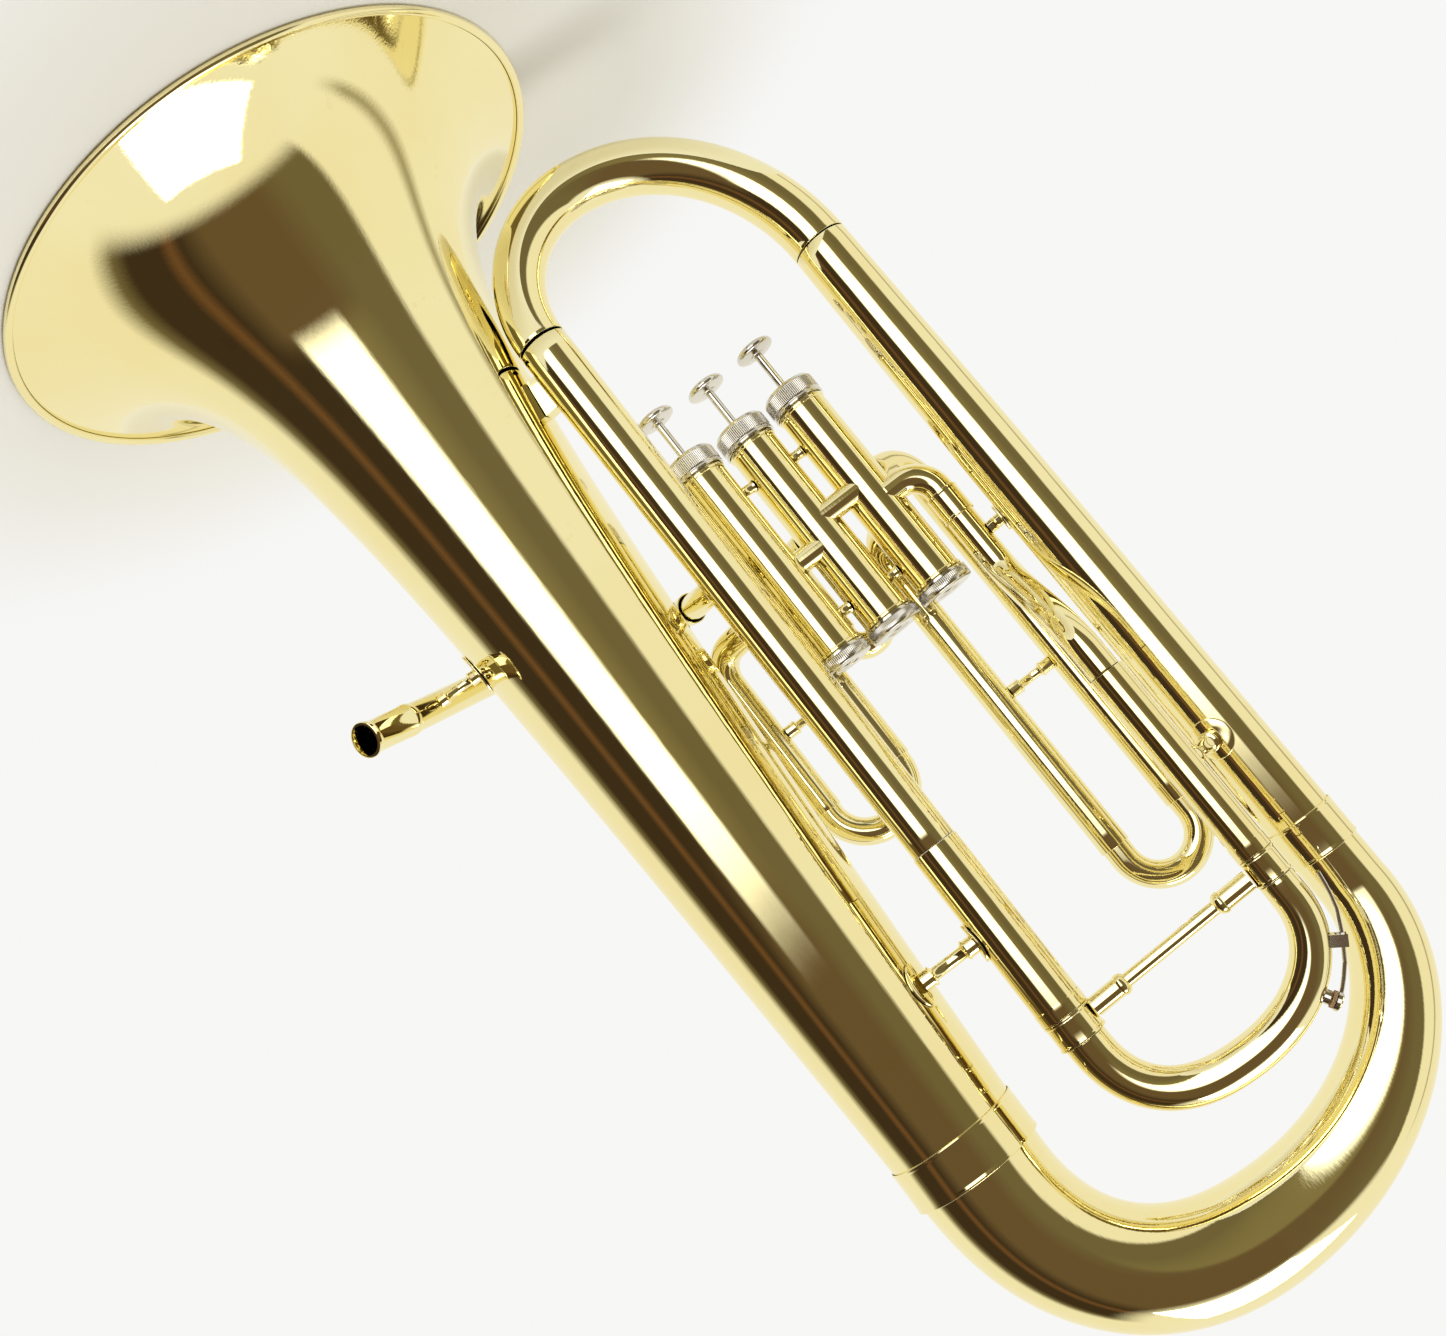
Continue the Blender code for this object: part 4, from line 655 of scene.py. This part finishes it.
def make_valve_slides():
    bends = {"first_slide": 0.0140, "second_slide": 0.0110, "third_slide": 0.0140}
    for number, name in enumerate(bends, 1):
        vx, vy = upright(f"valve_{number}_top_cap")[:2]
        crook_low, crook_high = corners(f"{name}_crook")
        places = {"left": crook_high[0] - SLIDE_LEG, "right": crook_low[0] + SLIDE_LEG}
        ends = {}
        for side, x in places.items():
            node = f"{name}_tube_{side}"
            low, high = corners(node)
            port = low[2] + SLIDE_TUBE
            away = np.array([x - vx, SLIDE_BACK - vy, 0.0])
            distance = np.linalg.norm(away)
            away = away / distance
            bend = min(bends[name], distance - CASING + 0.002)
            quarter = np.linspace(0, np.pi / 2, 24)[:, None]
            start = np.array([vx, vy, port])
            turn = start + away * (distance - bend + bend * np.sin(quarter))
            turn = turn + [0, 0, 1] * (bend * (1 - np.cos(quarter)))
            path = np.vstack([line(start + away * (CASING - 0.0010), turn[0], 4)[:-1], turn,
                              line(turn[-1], [x, SLIDE_BACK, high[2]], 20)[1:]])
            reference = np.cross(away, [0, 0, 1.0])
            radii = np.full(len(path), SLIDE_TUBE - 0.0001)
            radii[path[:, 2] > high[2] - 0.0045] = SLIDE_TUBE
            piece(f"{name}_outer_{side}", pipe(path, radii, SLEEVE_WALL, reference, 64), "instrument", SATIN,
                  [node])
            ends[side] = high[2]
        summit = crook_high[2] - SLIDE_LEG
        half = (places["left"] - places["right"]) / 2
        tip = crook_low[2]
        spring = summit - half
        arc = np.linspace(0, np.pi, 60)
        middle = (places["left"] + places["right"]) / 2
        bend = np.stack([middle + half * np.cos(arc), np.full(60, SLIDE_BACK),
                         spring + half * np.sin(arc)], axis=1)
        path = np.vstack([line([places["left"], SLIDE_BACK, tip], bend[0], 20)[:-1], bend,
                          line(bend[-1], [places["right"], SLIDE_BACK, tip], 20)[1:]])
        piece(f"{name}_bend", pipe(path, SLIDE_LEG, SLEEVE_WALL, (0, 1, 0), 64), name, LACQUER,
              [f"{name}_crook"])


OUTLET_BEND = 0.0130


def make_outlet():
    x, y, _, _, _ = upright("outlet_ferrule")
    radius = 0.0069
    elbow_low, elbow_high = corners("outlet_elbow")
    port = elbow_low[2] + radius
    quarter = np.linspace(0, np.pi / 2, 30)
    start = np.array([x + OUTLET_BEND, y, port])
    bend = np.stack([start[0] - OUTLET_BEND * np.sin(quarter), np.full(30, y),
                     port + OUTLET_BEND * (1 - np.cos(quarter))], axis=1)
    third = upright("valve_3_top_cap")
    path = np.vstack([line([third[0] - 0.0040, y, port], bend[0], 8)[:-1], bend,
                      line(bend[-1], [x, y, elbow_high[2]], 8)[1:]])
    elbow = seated(pipe(path, radius, WALL, (0, 1, 0), 64), third[0], third[1])
    piece("outlet_elbow_bend", elbow, "instrument", LACQUER, ["outlet_elbow"])
    ring_collar("outlet_collar", "outlet_ferrule", radius + GAP)

    neck_low, neck_high = corners("neck_pipe")
    right = upright("tuning_sleeve_right")
    t = np.linspace(0, 1, 70)
    ease = t * t * (3 - 2 * t)
    swing = np.stack([x + (right[0] - x) * ease, y + (right[1] - y) * ease, 0.3300 + 0.0600 * t], axis=1)
    path = np.vstack([line([x, y, neck_low[2]], swing[0], 20)[:-1], swing,
                      line(swing[-1], [right[0], right[1], neck_high[2]], 12)[1:]])
    piece("neck_tube", pipe(path, radius, WALL, (1, 0, 0), 64), "instrument", LACQUER, ["neck_pipe"])


def make_knuckles():
    for number in (1, 2):
        low, high = corners(f"valve_knuckle_{number}")
        y, z = (low[1] + high[1]) / 2, (low[2] + high[2]) / 2
        radius = (high[2] - low[2]) / 2
        near, far = upright(f"valve_{number}_top_cap"), upright(f"valve_{number + 1}_top_cap")
        path = line([near[0] - 0.0020, y, z], [far[0] + 0.0020, y, z], 24)
        tube = seated(seated(pipe(path, radius, WALL, (0, 0, 1), 64), near[0], near[1]), far[0], far[1])
        piece(f"knuckle_{number}_tube", tube, "instrument", LACQUER, [f"valve_knuckle_{number}"])


# ---- leadpipe -------------------------------------------------------------------------------------------
def make_leadpipe():
    mouth = at(-0.0975, -0.0430, 0.2330)
    inward = unit(np.array([-np.cos(np.radians(55.5)), np.sin(np.radians(55.5)), -0.07]))
    length = 0.0300
    back = mouth + inward * length
    outer = np.array([(0, 0.0078), (0.0003, 0.0082), (0.0016, 0.0082), (0.0021, 0.0075), (0.004, 0.0073),
                      (0.0262, 0.0073), (0.0266, 0.0076), (0.0296, 0.0076), (length, 0.0073)])
    inner = np.array([(length, 0.0056), (0.015, 0.0059), (0.0015, 0.0064), (0, 0.0069)])
    profile = np.vstack([outer, inner])
    side = unit(np.cross(inward, [0, 0, 1.0]))
    second = np.cross(inward, side)
    turn = np.linspace(0, 2 * np.pi, 80, endpoint=False)
    circle = np.cos(turn)[:, None] * side + np.sin(turn)[:, None] * second
    grid = mouth + inward * profile[:, 0].reshape(-1, 1, 1) + profile[:, 1][:, None, None] * circle[None]
    piece("receiver_socket", (grid, True), "instrument", LACQUER, ["mouthpiece_receiver"])

    angles = np.radians([140, 112, 84, 56, 34])
    ups = [0.2262, 0.2300, 0.2385, 0.2500, 0.2575]
    wrap = [at(0.0565 * np.cos(a), 0.0565 * np.sin(a), up) for a, up in zip(angles, ups)]
    vx, vy = upright("valve_1_top_cap")[:2]
    port = np.array([vx + 0.004, vy - 0.0050, 0.2643])
    points = [back + inward * GAP, back + inward * 0.012] + wrap + [at(0.0625, 0.0095, 0.2620), port]
    path = spline(points, 24)
    outside = np.hypot(path[:, 0] - vx, path[:, 1] - vy) > CASING - 0.0008
    path = path[outside]
    radii = np.interp(travelled(path), [0, 1], [0.0069, 0.0062])
    piece("leadpipe_tube", pipe(path, radii, WALL, (0, 0, 1), 64), "instrument", LACQUER, ["leadpipe"])

    low, high = corners("leadpipe_ferrule")
    middle = (low + high) / 2
    nearest = np.argmin(np.linalg.norm(path - middle, axis=1))
    span = slice(max(nearest - 13, 0), nearest + 14)
    share = np.linspace(0, 1, len(path[span]))
    proud = radii[span] + GAP + 0.0005 + 0.0005 * ((share < 0.12) | (share > 0.88))
    piece("leadpipe_collar", pipe(path[span], proud, 0.0006, (0, 0, 1), 64), "instrument", LACQUER,
          ["leadpipe_ferrule"])

    hold = mouth + inward * 0.0420
    centre = np.array([BELL_X, 0, hold[2]])
    outward = hold - centre
    reach = bell_radius(hold[2])
    start = centre + unit(outward) * reach
    piece("receiver_stay", [stay(start, hold, 0.0006, 0.0069, 0.0022, 0.0033, 0.004),
                            foot(centre, outward, bell_radius, 0.0110, 0.0080)], "instrument", LACQUER,
          ["receiver_brace"])


# ---- finishes on the pieces that stay as they are ------------------------------------------------------
def finish_remaining():
    for name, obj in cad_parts.items():
        if name == "water_key_cork":
            material = CORK
        elif name.endswith("spring"):
            material = STEEL
        elif "piston" in name or name.startswith("water_key"):
            material = SILVER
        else:
            material = LACQUER
        for slot in obj.material_slots:
            slot.material = material


# ---- stage, light and camera -----------------------------------------------------------------------------
PALE = (0.93, 0.93, 0.92)
FLOOR_REACH = 0.36
DARK = (0.050, 0.032, 0.018)
DIM = (0.17, 0.14, 0.075)
WARM = (0.16, 0.080, 0.034)
OVER = (0.14, 0.095, 0.050)  # above the window
SOFT = (0.94, 0.91, 0.80)
WINDOW = (2.3, 2.3, 2.25)
SURROUND = (  # bearing from the near side, clockwise from above, and the card or panel that stands there
    (-180, SOFT), (-104, SOFT), (-93, DIM), (-85, DARK), (-65, DARK), (-58, WARM), (-51, DARK),
    (-34, DARK), (-29, WINDOW), (3, WINDOW), (8, (0.24, 0.20, 0.10)), (30, DIM), (50, DIM), (55, SOFT),
    (92, SOFT), (98, (0.36, 0.32, 0.20)), (104, SOFT), (180, SOFT))
ABOVE = tuple((degrees, OVER if -35 < degrees < 29 else colour) for degrees, colour in SURROUND)


def bearing_colour(nodes, links, vector, cards=SURROUND):
    """Colour of the surround at a direction's bearing atan2(-x, -y): a ramp over the full turn."""
    split = nodes.new("ShaderNodeSeparateXYZ")
    links.new(vector, split.inputs["Vector"])
    flipped = []
    for axis in ("X", "Y"):
        minus = nodes.new("ShaderNodeMath")
        minus.operation = "MULTIPLY"
        minus.inputs[1].default_value = -1
        links.new(split.outputs[axis], minus.inputs[0])
        flipped.append(minus)
    turn = nodes.new("ShaderNodeMath")
    turn.operation = "ARCTAN2"
    links.new(flipped[0].outputs[0], turn.inputs[0])
    links.new(flipped[1].outputs[0], turn.inputs[1])
    share = nodes.new("ShaderNodeMapRange")
    share.inputs["From Min"].default_value = -np.pi
    share.inputs["From Max"].default_value = np.pi
    links.new(turn.outputs[0], share.inputs["Value"])
    ramp = nodes.new("ShaderNodeValToRGB")
    while len(ramp.color_ramp.elements) < len(cards):
        ramp.color_ramp.elements.new(0.5)
    for element, (degrees, colour) in zip(ramp.color_ramp.elements, cards):
        element.position = (degrees + 180) / 360
        element.color = (*colour, 1)
    links.new(share.outputs["Result"], ramp.inputs["Fac"])
    return ramp.outputs["Color"], split


def make_stage():
    """Round pale floor, plain and the same from everywhere, that fades into the pale surround at its edge."""
    turn = np.linspace(0, 2 * np.pi, 96, endpoint=False)
    rim = [(FLOOR_REACH * float(np.cos(t)), FLOOR_REACH * float(np.sin(t)), 0.0) for t in turn]
    mesh = bpy.data.meshes.new("floor")
    mesh.from_pydata(rim, [], [tuple(range(96))])
    floor = bpy.data.objects.new("floor", mesh)
    bpy.context.collection.objects.link(floor)
    paint = bpy.data.materials.new("pale_floor")
    paint.use_nodes = True
    nodes, links = paint.node_tree.nodes, paint.node_tree.links
    shader = nodes["Principled BSDF"]
    shader.inputs["Base Color"].default_value = (0.88, 0.88, 0.87, 1)
    shader.inputs["Roughness"].default_value = 0.8
    place = nodes.new("ShaderNodeTexCoord")
    far = nodes.new("ShaderNodeVectorMath")
    far.operation = "LENGTH"
    links.new(place.outputs["Object"], far.inputs[0])
    fade = nodes.new("ShaderNodeMapRange")
    fade.interpolation_type = "SMOOTHSTEP"
    fade.inputs["From Min"].default_value = 0.45 * FLOOR_REACH
    fade.inputs["From Max"].default_value = 0.97 * FLOOR_REACH
    links.new(far.outputs["Value"], fade.inputs["Value"])
    glow = nodes.new("ShaderNodeEmission")
    glow.inputs["Color"].default_value = (*PALE, 1)
    mix = nodes.new("ShaderNodeMixShader")
    links.new(fade.outputs["Result"], mix.inputs["Fac"])
    links.new(shader.outputs["BSDF"], mix.inputs[1])
    links.new(glow.outputs["Emission"], mix.inputs[2])
    links.new(mix.outputs["Shader"], nodes["Material Output"].inputs["Surface"])
    mesh.materials.append(paint)


def soft_box(name, place, target, width, height, power, colour):
    lamp = bpy.data.lights.new(name, "AREA")
    lamp.shape = "RECTANGLE"
    lamp.size = width
    lamp.size_y = height
    lamp.energy = power
    lamp.color = colour
    obj = bpy.data.objects.new(name, lamp)
    obj.location = place
    obj.rotation_euler = (Vector(target) - Vector(place)).to_track_quat("-Z", "Y").to_euler()
    bpy.context.collection.objects.link(obj)


def make_light():
    """Studio: pale walls behind and at the sides, a tall window on the near side between dark warm walls."""
    world = bpy.data.worlds.new("studio")
    bpy.context.scene.world = world
    world.use_nodes = True
    nodes, links = world.node_tree.nodes, world.node_tree.links
    nodes.clear()
    place = nodes.new("ShaderNodeTexCoord")
    low, split = bearing_colour(nodes, links, place.outputs["Generated"])
    high, _ = bearing_colour(nodes, links, place.outputs["Generated"], ABOVE)
    sill = nodes.new("ShaderNodeMapRange")
    sill.interpolation_type = "SMOOTHSTEP"
    sill.inputs["From Min"].default_value = -0.02
    sill.inputs["From Max"].default_value = 0.12
    links.new(split.outputs["Z"], sill.inputs["Value"])
    walls = nodes.new("ShaderNodeMix")
    walls.data_type = "RGBA"
    links.new(sill.outputs["Result"], walls.inputs["Factor"])
    links.new(low, walls.inputs["A"])
    links.new(high, walls.inputs["B"])
    overhead = nodes.new("ShaderNodeMapRange")
    overhead.interpolation_type = "SMOOTHSTEP"
    overhead.inputs["From Min"].default_value = 0.80
    overhead.inputs["From Max"].default_value = 0.90
    links.new(split.outputs["Z"], overhead.inputs["Value"])
    ceiling = nodes.new("ShaderNodeMix")
    ceiling.data_type = "RGBA"
    ceiling.inputs["B"].default_value = (0.95, 0.93, 0.86, 1)
    links.new(overhead.outputs["Result"], ceiling.inputs["Factor"])
    links.new(walls.outputs["Result"], ceiling.inputs["A"])
    glow = nodes.new("ShaderNodeBackground")
    links.new(ceiling.outputs["Result"], glow.inputs["Color"])
    plain = nodes.new("ShaderNodeBackground")
    plain.inputs["Color"].default_value = (*PALE, 1)
    rays = nodes.new("ShaderNodeLightPath")
    mix = nodes.new("ShaderNodeMixShader")
    links.new(rays.outputs["Is Camera Ray"], mix.inputs["Fac"])
    links.new(glow.outputs["Background"], mix.inputs[1])
    links.new(plain.outputs["Background"], mix.inputs[2])
    out = nodes.new("ShaderNodeOutputWorld")
    links.new(mix.outputs["Shader"], out.inputs["Surface"])

    soft_box("top_box", (0.1, -0.3, 2.2), (0, 0, 0.0), 1.0, 1.0, 14, (1.0, 0.99, 0.96))


def make_camera():
    """Camera that looks across the instrument's front, turned so the bell is towards the upper left."""
    across = Vector((-1.0, 0.0007, 0.0042)).normalized()
    forward = Vector((0.0, 0.9854, -0.170)).normalized()
    rise = forward.cross(across).normalized()
    turn_cos, turn_sin = 0.7961, 0.6051
    right = across * turn_cos + rise * turn_sin
    up = across * turn_sin - rise * turn_cos
    data = bpy.data.cameras.new("camera")
    data.sensor_width = 36.0
    data.sensor_fit = "HORIZONTAL"
    data.lens = 39.14
    data.shift_x = 0.0130
    data.shift_y = 0.0137
    camera = bpy.data.objects.new("camera", data)
    columns = Matrix((right, up, -forward)).transposed()
    camera.matrix_world = Matrix.Translation((BELL_X - 0.0316, -0.6948, 0.4170)) @ columns.to_4x4()
    bpy.context.collection.objects.link(camera)
    bpy.context.scene.camera = camera
    bpy.context.scene.view_settings.view_transform = "Standard"


make_bell()
ring_collar("bell_collar", "bell_ferrule", float(bell_radius(upright("bell_ferrule")[2])) + GAP)
make_bows()
ring_collar("bow_collar", "bow_ferrule", upright("outer_branch")[4] + GAP)
make_tuning_slide()
make_stays()
make_valves()
make_springs()
make_valve_slides()
make_outlet()
make_knuckles()
make_leadpipe()
finish_remaining()
make_stage()
make_light()
make_camera()
